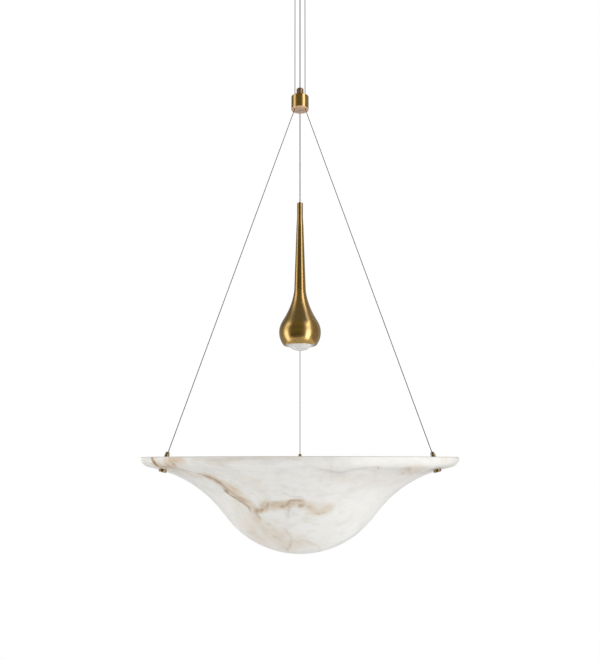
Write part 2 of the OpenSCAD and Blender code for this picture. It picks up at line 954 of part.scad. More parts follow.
module shell_cavity() {
    translate([0, 0, seam_z])
    rotate_extrude($fn = 128)
    polygon(concat(
        [[0, cavity_top_z - seam_z], [cavity_run[0][0] - 0.6, cavity_top_z - seam_z]],
        cavity_run,
        [[mouth_r, land_z - seam_z], [0, land_z - seam_z]]
    ));
}

module drop_shell() {
    color("darkgoldenrod")
    difference() {
        translate([0, 0, seam_z])
        rotate_extrude($fn = 128)
        polygon(concat([[0, 0]], shell_run(0), [[0, -(seam_z - mouth_plane_z)]]));
        shell_cavity();
        rod(mouth_d, mouth_plane_z - eps, land_z + eps);
        rod(spigot_d + 2 * fit, cavity_top_z - eps, seam_z + eps);
    }
}

module heat_sink() {
    color("silver")
    difference() {
        union() {
            rod(sink_d, sink_z, sink_z + sink_base_h);
            rod(sink_core_d, sink_z, sink_z + sink_core_h);
            for (turn = fin_turns)
                rotate([0, 0, turn])
                translate([-sink_d / 2 + fin_in, -fin_t / 2, sink_z + sink_base_h - 0.5])
                cube([sink_d - 2 * fin_in, fin_t, sink_fin_h]);
        }
        rod(spigot_d + 2 * fit, sink_z + sink_core_h - 9, sink_z + sink_core_h + sink_fin_h);
    }
}

module led_module() {
    color("lemonchiffon") {
        rod(module_d, sink_z - module_t, sink_z);
        rod(chip_d, sink_z - module_t - chip_t, sink_z - module_t);
    }
}

module reflector() {
    color("gainsboro")
    rotate_extrude()
    polygon([
        [chip_d / 2 + 1, reflector_top_z],
        [chip_d / 2 + 2.2, reflector_top_z],
        [lens_flange_d / 2 - 0.4, reflector_z + 1.2],
        [lens_flange_d / 2 - 0.4, reflector_z],
        [lens_flange_d / 2 - 1.6, reflector_z]
    ]);
}

module lens() {
    color("ghostwhite")
    translate([0, 0, lens_z])
    rotate_extrude($fn = 96)
    polygon(concat(
        arc(0, 0, lens_r, -90, -lens_top_a, 12),
        [[lens_flange_d / 2, lens_cut_z - lens_z]],
        [[lens_flange_d / 2, lens_cut_z - lens_z + flange_t]],
        arc(0, 0, lens_inner_r, -lens_inner_a, -90, 12)
    ));
}

module lens_ring() {
    color("white")
    difference() {
        ring(ring_d, ring_d - 2 * ring_wall, ring_z, ring_z + ring_h);
        for (turn = [0, 180])
            rotate([0, 0, turn])
            translate([mouth_r - 3, -key_w / 2, ring_z - eps])
            cube([4, key_w, eps + key_h]);
    }
}

base_plate();
gripper_bridge();
bracket_screws();
led_driver();
terminal_block();
driver_wires();
gripper_at(left_az);  // gripper_left
gripper_at(right_az);  // gripper_right
gripper_at(back_az);  // gripper_back
gripper_nuts();
spring_at(left_az);  // gripper_spring_left
spring_at(right_az);  // gripper_spring_right
spring_at(back_az);  // gripper_spring_back
plunger_at(left_az);  // plunger_left
plunger_at(right_az);  // plunger_right
plunger_at(back_az);  // plunger_back
balls_at(left_az);  // gripper_balls_left
balls_at(right_az);  // gripper_balls_right
balls_at(back_az);  // gripper_balls_back
cable_tails();
cord_gland();
cord_tail();
canopy_cover();
side_screw(-1);  // canopy_screw_left
side_screw(1);  // canopy_screw_right
upper_cable(left_az);  // upper_cable_left
upper_cable(right_az);  // upper_cable_right
upper_cable(back_az);  // upper_cable_back
upper_cord();
hub_body();
hub_base();
hub_screws();
hub_cables();
hub_cord();
cord_collet();
cord_bush();
cord_knob();
lower_cable(left_az);  // lower_cable_left
lower_cable(right_az);  // lower_cable_right
lower_cable(back_az);  // lower_cable_back
bowl_shell();
socket_at(left_az);  // rim_socket_left
socket_at(right_az);  // rim_socket_right
socket_at(back_az);  // rim_socket_back
rim_washers();
cable_ends();
nut_at(left_az);  // rim_nut_left
nut_at(right_az);  // rim_nut_right
nut_at(back_az);  // rim_nut_back
lower_cord();
cord_ferrule();
drop_stem();
stem_cord();
drop_shell();
heat_sink();
led_module();
reflector();
lens();
lens_ring();
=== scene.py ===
import json
from math import acos, asin, cos, degrees, pi, radians, sin, sqrt, tan

import bmesh
import bpy
import numpy as np
from mathutils import Matrix, Vector

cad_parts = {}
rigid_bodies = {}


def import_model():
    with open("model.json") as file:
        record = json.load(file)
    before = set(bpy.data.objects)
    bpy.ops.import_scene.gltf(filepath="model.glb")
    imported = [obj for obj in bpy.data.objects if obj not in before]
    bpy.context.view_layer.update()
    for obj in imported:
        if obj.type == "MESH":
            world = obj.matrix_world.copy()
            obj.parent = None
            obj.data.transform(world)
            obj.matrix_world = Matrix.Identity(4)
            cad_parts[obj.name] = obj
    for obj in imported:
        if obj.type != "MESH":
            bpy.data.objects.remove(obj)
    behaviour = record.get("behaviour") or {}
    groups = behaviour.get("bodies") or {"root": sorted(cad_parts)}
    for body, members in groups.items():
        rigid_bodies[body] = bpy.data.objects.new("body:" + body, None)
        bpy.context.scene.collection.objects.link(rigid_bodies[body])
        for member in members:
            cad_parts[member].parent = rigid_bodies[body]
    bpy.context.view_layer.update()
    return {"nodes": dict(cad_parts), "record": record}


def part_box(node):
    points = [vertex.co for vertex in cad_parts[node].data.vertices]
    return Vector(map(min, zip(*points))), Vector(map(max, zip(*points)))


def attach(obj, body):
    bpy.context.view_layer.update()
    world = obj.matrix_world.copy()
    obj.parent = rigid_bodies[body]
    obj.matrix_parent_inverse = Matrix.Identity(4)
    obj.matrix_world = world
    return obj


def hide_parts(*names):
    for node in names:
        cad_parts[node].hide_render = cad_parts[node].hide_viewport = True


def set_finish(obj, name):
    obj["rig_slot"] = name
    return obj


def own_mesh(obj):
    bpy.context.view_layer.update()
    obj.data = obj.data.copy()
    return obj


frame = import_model()
print("frame loaded:", len(frame["nodes"]), "nodes")

mm = 0.001
sides = {"left": 210.0, "right": 330.0, "back": 90.0}  # azimuths of the three cables
fullTurn = 2 * pi


def newObject(name, data):
    obj = bpy.data.objects.new(name, data)
    bpy.context.scene.collection.objects.link(obj)
    return obj


# camera

cameraView = {
    "lens": 45.0,
    "place": (0.0, -1.6009, -1.0392),
    "tilt": 9.1,  # degrees upwards
}


def placeCamera():
    data = bpy.data.cameras.new("viewCamera")
    data.lens = cameraView["lens"]
    camera = newObject("viewCamera", data)
    camera.location = cameraView["place"]
    camera.rotation_euler = (radians(90 + cameraView["tilt"]), 0, 0)
    bpy.context.scene.camera = camera


placeCamera()


# mesh helpers, sizes in millimetres from the ceiling

meshMake = {
    "sharp": 32.0,       # degrees from which two faces meet in a crisp edge
    "wireSharp": 60.0,   # the same for cables and wire
    "weld": 1e-6,        # metres
    "doublings": 4,      # from a short stretch of cable to the whole
}


def meshObject(name, bm):
    mesh = bpy.data.meshes.new(name)
    bm.to_mesh(mesh)
    bm.free()
    return newObject(name, mesh)


def finishMesh(name, node, bm, body, slotName, sharp=meshMake["sharp"]):
    piece = meshObject(name, bm)
    for face in piece.data.polygons:
        face.use_smooth = True
    piece.data.set_sharp_from_angle(angle=radians(sharp))
    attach(piece, body)
    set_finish(piece, slotName)
    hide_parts(node)
    return piece


def doubleMesh(bm, move):
    made = bmesh.ops.duplicate(bm, geom=bm.verts[:] + bm.edges[:] + bm.faces[:])["geom"]
    bmesh.ops.transform(bm, matrix=move, verts=[g for g in made if isinstance(g, bmesh.types.BMVert)])


def capEnds(bm):
    bmesh.ops.holes_fill(bm, edges=[e for e in bm.edges if e.is_boundary], sides=0)
    bmesh.ops.recalc_face_normals(bm, faces=bm.faces)


def spinProfile(outline, steps, closed=True, copies=0):
    # a large piece is spun part of the way, then doubled until it closes
    bm = bmesh.new()
    verts = [bm.verts.new((r * mm, 0, z * mm)) for r, z in outline]
    edges = [bm.edges.new(pair) for pair in zip(verts, verts[1:])]
    if closed:
        edges.append(bm.edges.new((verts[-1], verts[0])))
    parts = 2 ** copies
    bmesh.ops.spin(bm, geom=verts + edges, cent=(0, 0, 0), axis=(0, 0, 1),
                   angle=fullTurn / parts, steps=steps // parts, use_merge=copies == 0)
    for i in range(copies):
        doubleMesh(bm, Matrix.Rotation(fullTurn / parts * 2 ** i, 4, "Z"))
    bmesh.ops.remove_doubles(bm, verts=bm.verts, dist=meshMake["weld"])
    bmesh.ops.recalc_face_normals(bm, faces=bm.faces)
    return bm


def turnedPiece(name, node, outline, body, slotName, steps, closed=True, place=Matrix(), sharp=meshMake["sharp"]):
    bm = spinProfile(outline, steps, closed)
    bmesh.ops.transform(bm, matrix=place, verts=bm.verts)
    finishMesh(name, node, bm, body, slotName, sharp)


def arcPoints(x, z, r, start, end, count):
    turns = [radians(start + (end - start) * i / count) for i in range(count + 1)]
    return [(x + r * cos(a), z + r * sin(a)) for a in turns]


# steel cables and power cord

cableMake = {
    "diameter": 1.5,
    "ring": 0.8,         # from one ring of vertices to the next
    "strands": 6,
    "valley": 0.86,      # depth of the groove between two strands, as a share
    "lay": 13.0,         # length of one turn of the strands
    "slot": "steel_cable",
    "stiffness": "stiff",
}
cordMake = {"diameter": 2.6, "ring": 6.0, "sides": 20, "slot": "cord_sleeve", "stiffness": "medium"}
lowerRun = {"exit": (12.0, -325.1), "end": (269.79, -1027.41), "skip": 0.1}


def ringShares(make):
    if "strands" not in make:
        return [1.0] * make["sides"]
    swell = [abs(cos(pi * i / 3)) for i in range(3 * make["strands"])]
    return [make["valley"] + (1 - make["valley"]) * s for s in swell]


def tautRun(name, node, make, body, start, end):
    # a tube from start to end, its ring turned evenly on the way
    bm = bmesh.new()
    shares = ringShares(make)
    ring = bmesh.ops.create_circle(bm, cap_ends=False, radius=make["diameter"] / 2 * mm,
                                   segments=len(shares))["verts"]
    for vert, share in zip(ring, shares):
        vert.co *= share
    length = (end - start).length
    angle = fullTurn * length / (make["lay"] * mm) if "lay" in make else 0
    parts = 2 ** meshMake["doublings"]
    steps = max(1, round(length / parts / (make["ring"] * mm)))
    bmesh.ops.spin(bm, geom=ring + bm.edges[:], cent=(0, 0, 0), axis=(0, 0, 1),
                   dvec=(0, 0, length / parts / steps), angle=angle / parts, steps=steps)
    for i in range(meshMake["doublings"]):
        share = 2 ** i / parts
        doubleMesh(bm, Matrix.Translation((0, 0, length * share)) @ Matrix.Rotation(angle * share, 4, "Z"))
    bmesh.ops.remove_doubles(bm, verts=bm.verts, dist=meshMake["weld"])
    capEnds(bm)
    turn = (end - start).to_track_quat("Z", "Y").to_matrix().to_4x4()
    bmesh.ops.transform(bm, matrix=Matrix.Translation(start) @ turn, verts=bm.verts)
    piece = finishMesh(name, node, bm, body, make["slot"], meshMake["wireSharp"])
    return piece


def crumple(piece):
    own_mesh(piece)


for side, azimuth in sides.items():
    node = "upper_cable_" + side
    low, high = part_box(node)
    x, y = (low.x + high.x) / 2, (low.y + high.y) / 2
    run = tautRun("upperCable." + side, node, cableMake, "suspension", Vector((x, y, high.z)), Vector((x, y, low.z)))
    crumple(run)
    out = Vector((cos(radians(azimuth)), sin(radians(azimuth)), 0))
    top = out * lowerRun["exit"][0] * mm + Vector((0, 0, lowerRun["exit"][1] * mm))
    end = out * lowerRun["end"][0] * mm + Vector((0, 0, lowerRun["end"][1] * mm))
    end += (top - end).normalized() * lowerRun["skip"] * mm
    tautRun("lowerCable." + side, "lower_cable_" + side, cableMake, "bowl", top, end)

for name, node, body, joint in (
    ("upperCord", "upper_cord", "suspension", "lamp_height"),
    ("lowerCord", "lower_cord", "drop_cord", "drop_height"),
):
    low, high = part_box(node)
    run = tautRun(name, node, cordMake, body, Vector((0, 0, high.z)), Vector((0, 0, low.z)))
    crumple(run)
print("cables and cords done")


# wound springs in the cable grippers

springMake = {"wire": 0.6, "across": 6.7, "coils": 6, "sides": 10, "coilSteps": 28, "play": 0.04, "travel": 2.5}


def gripperSpring(side):
    node = "gripper_spring_" + side
    low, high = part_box(node)
    wire = springMake["wire"] * mm
    rise = high.z - low.z - wire - springMake["play"] * mm
    steps = springMake["coils"] * springMake["coilSteps"]
    bm = bmesh.new()
    ring = bmesh.ops.create_circle(bm, cap_ends=False, radius=wire / 2, segments=springMake["sides"])["verts"]
    start = Matrix.Translation((springMake["across"] / 2 * mm - wire / 2, 0, 0))
    bmesh.ops.transform(bm, matrix=start @ Matrix.Rotation(pi / 2, 4, "X"), verts=ring)
    bmesh.ops.spin(bm, geom=ring + bm.edges[:], cent=(0, 0, 0), axis=(0, 0, 1), dvec=(0, 0, rise / steps),
                   angle=fullTurn * springMake["coils"], steps=steps)
    capEnds(bm)
    centre = (low + high) / 2
    bmesh.ops.transform(bm, matrix=Matrix.Translation((centre.x, centre.y, centre.z - rise / 2)), verts=bm.verts)
    piece = finishMesh("gripperSpring." + side, node, bm, "ceiling", "spring_steel", meshMake["wireSharp"])
    crumple(piece)


for side in sides:
    gripperSpring(side)
print("gripper springs done")


# bowl, heights from the rim

bowlMake = {
    "rim": -1030.0,
    "radius": 300.0,
    "lip": 16.5,
    "lipDrop": 1.5,
    "slope": 15.0,
    "flangeRings": (284, 280, 276, 272, 267.5),
    "bellX": 263.5,
    "bellR": 219.0,
    "steepest": 50.5,
    "cupR": 176.0,
    "flangeWall": 11.0,
    "cupWall": 9.0,
    "land": 10.0,
    "landEdge": 5.0,
    "edge": 1.2,
    "rings": {"lip": 10, "bell": 26, "straight": 5, "cup": 40, "innerCup": 30, "innerBell": 20, "edge": 4},
    "steps": 352,
    "doublings": 5,
    "sharp": 40.0,
    "hole": 9.2,
    "drill": {"sides": 48, "length": 40.0, "centre": 6.0},
}


fittingMake = {
    "away": 276.0,
    "height": -1050.592,
    "socketR": 4.3,
    "socketBore": 2.7,
    "tipR": 2.9,
    "mouthR": 1.85,
    "low": -5.35,
    "cone": 25.0,
    "high": 30.0,
    "cap": 3.0,
    "collarR": 5.9,
    "collar": (11.85, 13.45),
    "socketSteps": 64,
    "nutR": 7.0,
    "nut": (-6.0, -1.0),
    "nutBore": 4.35,
    "groove": (1.0, 1.2, 1.6, 1.8),  # heights above the nut's lower face
    "grooveDepth": 0.45,
    "nutSteps": 72,
    "nutSharp": 25.0,
}


def bowlRuns():
    b, rings = bowlMake, bowlMake["rings"]
    slope, steepest = radians(b["slope"]), radians(b["steepest"])
    lipX, lipZ = b["radius"] - b["lip"], -b["lipDrop"]
    lip = arcPoints(lipX, lipZ, b["lip"], 0, -(90 - b["slope"]), rings["lip"])
    turnX, turnZ = lip[-1]

    def under(r):
        return turnZ - (turnX - r) * tan(slope)

    def bell(share, wall):
        a = slope + (steepest - slope) * share
        r = b["bellR"] + wall
        return (b["bellX"] + b["bellR"] * sin(slope) - r * sin(a),
                under(b["bellX"]) - b["bellR"] * cos(slope) + r * cos(a))

    steepX, steepZ = bell(1, 0)
    cupX = b["cupR"] * sin(steepest)
    cupZ = steepZ - (steepX - cupX) * tan(steepest)
    centreZ = cupZ + b["cupR"] * cos(steepest)

    def cup(share, wall):
        a = steepest * (1 - share)
        r = b["cupR"] - wall
        return (r * sin(a), centreZ - r * cos(a))

    count = rings["straight"]
    outer = lip + [(r, under(r)) for r in b["flangeRings"]]
    outer += [bell(i / rings["bell"], 0) for i in range(rings["bell"] + 1)]
    outer += [(steepX + (cupX - steepX) * i / count, steepZ + (cupZ - steepZ) * i / count) for i in range(1, count)]
    outer += [cup(i / rings["cup"], 0) for i in range(rings["cup"] + 1)]
    count = rings["innerCup"]
    inner = [cup(1 - i / count, b["cupWall"]) for i in range(count + 1)]
    shares = [1 - i / rings["innerBell"] for i in range(rings["innerBell"] + 1)]
    inner += [bell(share, b["flangeWall"] + (b["cupWall"] - b["flangeWall"]) * share) for share in shares]
    landX = b["radius"] - b["land"]
    landDrop = -(under(landX) + b["flangeWall"] / cos(slope)) / (1 - tan(slope))
    inner += [(landX - landDrop, -landDrop), (landX - 0.4, -0.4), (landX + 0.3, 0), (b["radius"] - b["landEdge"], 0)]
    inner += arcPoints(b["radius"] - b["edge"], -b["edge"], b["edge"], 90, 0, rings["edge"])
    return outer, inner


def anchorPlace(azimuth):
    # origin on the flange's underside, +Z up along the socket
    f = fittingMake
    a = radians(azimuth)
    away = f["away"] * mm
    return (Matrix.Translation((away * cos(a), away * sin(a), f["height"] * mm))
            @ Matrix.Rotation(a, 4, "Z") @ Matrix.Rotation(-radians(bowlMake["slope"]), 4, "Y"))


def makeBowl():
    b, drill = bowlMake, bowlMake["drill"]
    outer, inner = bowlRuns()
    outline = [(max(r, 0.0), z + b["rim"]) for r, z in outer + inner]
    bm = spinProfile(outline, b["steps"], copies=b["doublings"])
    piece = finishMesh("bowlShell", "bowl_shell", bm, "bowl", "veined_acrylic", b["sharp"])
    cutter = bmesh.new()
    for azimuth in sides.values():
        bmesh.ops.create_cone(cutter, cap_ends=True, segments=drill["sides"], radius1=b["hole"] / 2 * mm,
                              radius2=b["hole"] / 2 * mm, depth=drill["length"] * mm,
                              matrix=anchorPlace(azimuth) @ Matrix.Translation((0, 0, drill["centre"] * mm)))
    drillPiece = meshObject("holeDrill", cutter)
    cut = piece.modifiers.new("holes", "BOOLEAN")
    cut.object = drillPiece
    cut.solver = "EXACT"
    bpy.context.view_layer.update()
    done = bpy.data.meshes.new_from_object(piece.evaluated_get(bpy.context.evaluated_depsgraph_get()))
    piece.modifiers.clear()
    piece.data = done
    done.name = "bowlShell"
    bpy.data.objects.remove(drillPiece)
    return piece, np.array(outer)


bowlPiece, bowlOuter = makeBowl()
print("bowl done:", len(bowlPiece.data.vertices), "vertices")


# veins of the acrylic, and one band of painted shade in the crease below the flange: strength, length of the soft
# ends, then plan points with the half width there

def even(width, *points):
    return [(*point, width) for point in points]


veinLines = {
    "veinDark": [
        (1, 5, (-253, -161, 6.5), (-254, -159, 6.9), (-251, -159, 6.1), (-247, -159, 7), (-242, -155, 13.5)),
        (0.6, 6, (-238, -158, 11.1), (-227, -175, 7.5), (-216, -191, 8.3), (-209, -191, 8.7)),
        (0.12, 10, (-207, -196, 8.9), (-197, -193, 8.9), (-189, -178, 8.7)),
        (0.92, 12, (-176, -176, 2.6), (-169, -178, 4.4), (-161, -176, 6.6), (-153, -176, 7.2),
            (-145, -168, 7.5), (-139, -161, 6.1), (-133, -154, 5.6)),
        (1, 4, (-132, -148, 3.7), (-129, -145, 4.4), (-127, -139, 4.6), (-121, -136, 3.3), (-112, -136, 3.4),
            (-105, -134, 4.5), (-100, -133, 3.2)),
        (0.48, 4, (-76, -130, 3.4), (-74, -126, 3.6), (-68, -125, 2.8)),
        (0.24, 5, (-18, -160, 2.7), (-19, -152, 2.7), (-20, -143, 2.2)),
        (0.18, 6, (-30, -126, 3), (-24, -121, 2.9), (-18, -114, 2.7), (-15, -105, 2.4), (-15, -98, 2.2)),
        (0.3, 5, (-15, -98, 2.3), (-17, -88, 3), (-21, -73, 3.4), (-24, -48, 4.8)),
        (0.24, 6, (27, -277, 3.9), (40, -271, 3.9), (53, -257, 4.3), (68, -248, 5), (79, -254, 4.7),
            (88, -261, 5.4), (98, -263, 5.5), (110, -264, 4.1), (123, -261, 3.5)),
        (0.7, 2, (125, -262, 1), (126, -254, 1.1), (127, -244, 1.1)),
        (0.5, 3, (172, -187, 4.5), (176, -185, 5.5), (180, -181, 3.7)),
        (0.4, 8, (211, -130, 7.3), (219, -125, 8.4), (225, -130, 11.6), (233, -134, 14.7)),
        (0.8, 25, *even(2.4, (-52, 300), (-58, 262), (-84, 240), (-96, 205), (-128, 176), (-142, 132),
            (-170, 96), (-168, 60))),
        (0.65, 25, *even(2.2, (296, 48), (262, 66), (236, 60), (204, 84), (178, 116), (142, 132), (104, 126),
            (84, 96))),
        (0.5, 25, *even(2, (-299, 20), (-262, 10), (-236, -22), (-206, -30), (-186, -58))),
    ],
    "veinFine": [
        (0.84, 5, (-214, -206, 3.7), (-211, -206, 7), (-207, -206, 6.3)),
        (0.65, 6, (-130, -155, 3.6), (-124, -150, 3.5), (-117, -145, 3.1), (-111, -141, 2.9),
            (-105, -141, 3.2), (-98, -140, 2.8)),
        (0.77, 6, (-100, -133, 2.8), (-93, -134, 2.2), (-89, -131, 2.5), (-87, -126, 1.9)),
        (0.18, 5, (-25, -152, 2.6), (-23, -147, 2.4), (-23, -140, 2.1)),
        (0.22, 5, (-49, -103, 4), (-42, -99, 5.3), (-32, -97, 4.3)),
        (0.16, 8, (-15, -99, 3.7), (-1, -101, 3.7), (9, -102, 3.7), (19, -93, 3.7), (29, -81, 4.3),
            (35, -65, 2.4), (33, -36, 8.6)),
        (0.25, 5, (-96, -67, 6.2), (-86, -80, 4.9), (-78, -90, 4)),
        (0.3, 6, (-28, -186, 2), (-19, -182, 1.8), (-11, -180, 2), (4, -180, 1.8)),
        (0.12, 5, (48, -291, 1.3), (51, -255, 1.4), (52, -219, 1.4)),
        (0.5, 20, *even(1.7, (60, 238), (84, 216), (78, 180), (104, 160), (100, 124))),
        (0.45, 20, *even(1.6, (212, -60), (190, -36), (196, 0), (172, 24))),
        (0.4, 20, *even(1.6, (-60, 60), (-36, 84), (-44, 116), (-14, 140))),
        (0.35, 15, *even(1.5, (40, 20), (62, 44), (58, 74))),
    ],
    "veinTan": [
        (1, 8, (-230, -188, 10.2), (-220, -198, 21.6), (-207, -215, 11.3), (-198, -224, 18.8),
            (-189, -231, 13.1)),
        (0.45, 8, (-191, -187, 21.3), (-186, -153, 30.5), (-179, -155, 21.5), (-172, -170, 10.1)),
        (0.96, 14, (-173, -176, 16.9), (-159, -180, 19.3), (-144, -174, 18.1), (-131, -164, 18.1),
            (-118, -155, 19.2), (-106, -147, 19.4), (-96, -142, 17.8), (-89, -134, 14.1), (-84, -126, 9.2)),
        (0.78, 14, (-241, -142, 36.9), (-221, -168, 29.6), (-203, -175, 29.3), (-190, -164, 27.7)),
        (0.46, 14, (-84, -128, 17), (-76, -120, 23), (-63, -115, 23.5), (-47, -109, 31.3), (-31, -95, 35.6),
            (-21, -67, 28.1)),
        (0.35, 14, (-96, -101, 21.9), (-85, -93, 27.9), (-71, -77, 27.3), (-57, -61, 29.9)),
        (0.6, 6, (-61, -121, 4.4), (-55, -122, 5.1), (-50, -125, 3.5)),
        (0.42, 10, (4, -168, 11.8), (17, -161, 12.7), (30, -153, 15.5), (44, -154, 18.6), (56, -156, 13.7)),
        (0.62, 10, (161, -225, 17.8), (174, -205, 23), (187, -182, 29.4), (197, -168, 26.7), (209, -144, 17.8)),
        (0.3, 8, (117, -258, 6.1), (124, -215, 6), (129, -187, 5.2)),
        (0.4, 8, (250, -166, 6.8), (251, -164, 6.8), (251, -159, 6.5)),
        (0.22, 20, (47, -245, 20.8), (81, -217, 22.9), (126, -193, 38), (175, -124, 42.7)),
        (0.2, 10, (10, -141, 3.5), (19, -139, 3.5)),
        (0.35, 10, (-153, -256, 5.7), (-138, -263, 6.7), (-123, -267, 7.3), (-116, -259, 9.7)),
        (0.25, 14, (-100, -228, 27.4), (-81, -202, 26.9), (-65, -184, 17.8), (-59, -172, 10)),
        (0.5, 8, (-229, -158, 25.9), (-218, -163, 30), (-207, -167, 21.4)),
        (0.4, 25, *even(13, (-56, 290), (-70, 252), (-96, 222), (-120, 186), (-140, 150))),
        (0.4, 25, *even(13, (290, 50), (252, 66), (220, 72), (190, 100), (160, 126))),
        (0.35, 30, *even(20, (-100, 210), (-70, 190), (-66, 150))),
        (0.32, 8, *even(3.2, (-176, -243), (-152, -258), (-128, -271), (-104, -281), (-78, -289.6),
            (-52, -295.4), (-24, -299), (2, -299.9))),
    ],
    "veinBand": [
        (0.8, 7, (-81, -128, 6.6), (-74, -136, 8.5), (-66, -144, 9.8), (-57, -153, 11.8), (-47, -157, 13.1),
            (-37, -160, 12.1), (-26, -163, 10.7), (-18, -167, 9.7), (-7, -170, 9.7), (1, -168, 11),
            (8, -166, 8.2)),
        (0.4, 7, (10, -164, 6.9), (18, -159, 8), (27, -152, 7.2), (34, -149, 7.5), (41, -149, 8.5),
            (49, -152, 10.2), (54, -155, 7.7)),
        (0.5, 25, *even(9, (96, 150), (128, 166), (164, 158), (198, 170))),
        (0.45, 25, *even(9, (-150, 60), (-128, 36), (-98, 30), (-74, 6))),
        (0.45, 25, *even(9, (-20, 232), (14, 222), (40, 196))),
    ],
    "veinCore": [
        (0.7, 4, (-78, -133, 3.4), (-72, -137, 4.6), (-64, -144, 3.8)),
        (0.6, 4, (-54, -159, 2.8), (-56, -152, 3.3), (-58, -147, 2.4)),
        (0.35, 4, (-47, -162, 3.1), (-40, -163, 3.9)),
        (0.68, 4, (-33, -159, 3.5), (-26, -161, 4.6), (-20, -166, 3.9), (-16, -171, 3.5), (-9, -174, 3.1),
            (-1, -174, 3.1), (7, -174, 2.9)),
        (0.6, 4, (-2, -165, 4.9), (3, -164, 5.4), (6, -166, 3.8)),
        (0.5, 4, (14, -162, 3.2), (19, -159, 3.2)),
        (0.4, 4, (29, -149, 2.7), (36, -146, 3.4), (43, -147, 3)),
        (0.4, 4, (177, -224, 4.5), (183, -198, 3.5), (188, -167, 2.2)),
        (0.4, 4, (-60, -122, 3.3), (-53, -123, 3.4)),
        (0.4, 4, (-104, -145, 5.5), (-99, -142, 6), (-94, -140, 4.5)),
    ],
    "veinGreyAndCreaseShade": [
        # the first grey band is painted shade in the crease where the flange turns into the bell; the others are
        # grey veins
        (0.4, 20, (25, -271, 12.6), (38, -266, 14.7), (57, -250, 17.5), (73, -246, 18.2), (92, -253, 16.4),
            (115, -249, 14.6), (145, -239, 16.4), (168, -212, 21.4)),
        (0.28, 8, (86, -183, 5.8), (92, -173, 9.4), (99, -170, 7.4)),
        (0.24, 8, (71, -135, 5.2), (78, -131, 5.4)),
        (0.26, 6, (64, -114, 5.9), (72, -114, 7.1), (82, -110, 5.7), (88, -113, 3.8), (93, -116, 3.8)),
        (0.26, 8, (-150, -259, 2.7), (-136, -266, 3.6), (-123, -270, 4.6), (-113, -270, 5.8)),
        (0.28, 8, (-158, -228, 12), (-144, -229, 14.5), (-128, -240, 10.6)),
        (0.28, 8, (-117, -204, 8.6), (-108, -201, 8.7)),
        (0.28, 6, (-110, -176, 8.5), (-105, -176, 8.3)),
        (0.28, 8, (-27, -273, 9), (-33, -253, 9.9), (-35, -238, 4.1)),
        (0.28, 8, (-38, -211, 7), (-28, -206, 8), (-16, -201, 5.6)),
        (0.24, 8, (2, -210, 5.3), (14, -213, 5.6)),
        (0.24, 6, (31, -217, 6), (37, -217, 5.3)),
        (0.24, 10, (46, -201, 4.6), (54, -208, 4.8)),
        (0.2, 10, (153, -134, 8.4), (162, -132, 10.8), (170, -133, 10.7)),
        (0.2, 10, (-70, -245, 9.5), (-60, -242, 9.8)),
        (0.44, 8, (227, -162, 13.9), (245, -137, 21.5), (269, -78, 39.2)),
        (0.2, 8, (-167, -103, 17.7), (-147, -127, 16), (-134, -132, 11.4)),
        (0.4, 30, *even(9, (150, 200), (116, 214), (80, 250))),
        (0.4, 30, *even(9, (-210, 90), (-190, 130), (-200, 170))),
        (0.4, 20, *even(8, (120, -60), (96, -30), (100, 10))),
    ],
}

veinMake = {
    "gap": 4.0,            # between the points of a smoothed line
    "least": 0.8,          # half width
    "reach": (14.0, 2.6),  # how far a vein is felt, in millimetres and in half widths
    "fade": 0.7,           # share of that reach from which it fades
    "none": 100.0,         # where no vein is near
}
farAway = 1e9
tiny = 1e-6


def smoothLine(points):
    # a Catmull-Rom curve through the points, cut every few millimetres
    least = veinMake["least"]
    p = np.array(points, float)
    p = np.vstack([2 * p[0] - p[1], p, 2 * p[-1] - p[-2]])
    p[:, 2] = np.maximum(p[:, 2], least)
    made = []
    for i in range(1, len(p) - 2):
        count = max(1, int(np.linalg.norm((p[i + 1] - p[i])[:2]) / veinMake["gap"]))
        for k in range(count):
            t = k / count
            made.append(0.5 * (2 * p[i] + (p[i + 1] - p[i - 1]) * t
                               + (2 * p[i - 1] - 5 * p[i] + 4 * p[i + 1] - p[i + 2]) * t * t
                               + (3 * p[i] - p[i - 1] - 3 * p[i + 1] + p[i + 2]) * t ** 3))
    made.append(p[-2])
    made = np.array(made)
    return made[:, :2], np.maximum(made[:, 2], least)


def ease(value, low, high):
    t = np.clip((value - low) / (high - low), 0, 1)
    return t * t * (3 - 2 * t)


def onBowl(plan):
    # plan points carried down onto the bowl's outside
    radius = np.minimum(np.hypot(plan[:, 0], plan[:, 1]), bowlMake["radius"])
    order = np.argsort(bowlOuter[:, 0])
    height = np.interp(radius, bowlOuter[order, 0], bowlOuter[order, 1])
    return np.column_stack([plan, height])


def outsidePoints(mesh):
    # each vertex's nearest point on the outside's outline, and the normal there
    spots = np.zeros(len(mesh.vertices) * 3, np.float32)
    mesh.vertices.foreach_get("co", spots)
    spots = spots.reshape(-1, 3).astype(float) / mm
    radius = np.hypot(spots[:, 0], spots[:, 1])
    height = spots[:, 2] - bowlMake["rim"]
    best = np.full(len(spots), farAway)
    near, slope = np.zeros((2, len(spots), 2))
    for a, b in zip(bowlOuter[:-1], bowlOuter[1:]):
        run = b - a
        size = np.hypot(*run)
        if size < tiny:
            continue
        t = np.clip(((radius - a[0]) * run[0] + (height - a[1]) * run[1]) / size ** 2, 0, 1)
        r, z = a[0] + t * run[0], a[1] + t * run[1]
        gap = np.hypot(radius - r, height - z)
        closer = gap < best
        best[closer] = gap[closer]
        near[closer] = np.column_stack([r, z])[closer]
        slope[closer] = run / size
    flat = spots[:, :2] / np.maximum(radius, tiny)[:, None]
    outside = np.column_stack([flat * near[:, :1], near[:, 1]])
    normal = np.column_stack([-flat * slope[:, 1:], slope[:, 0]])
    return outside, normal


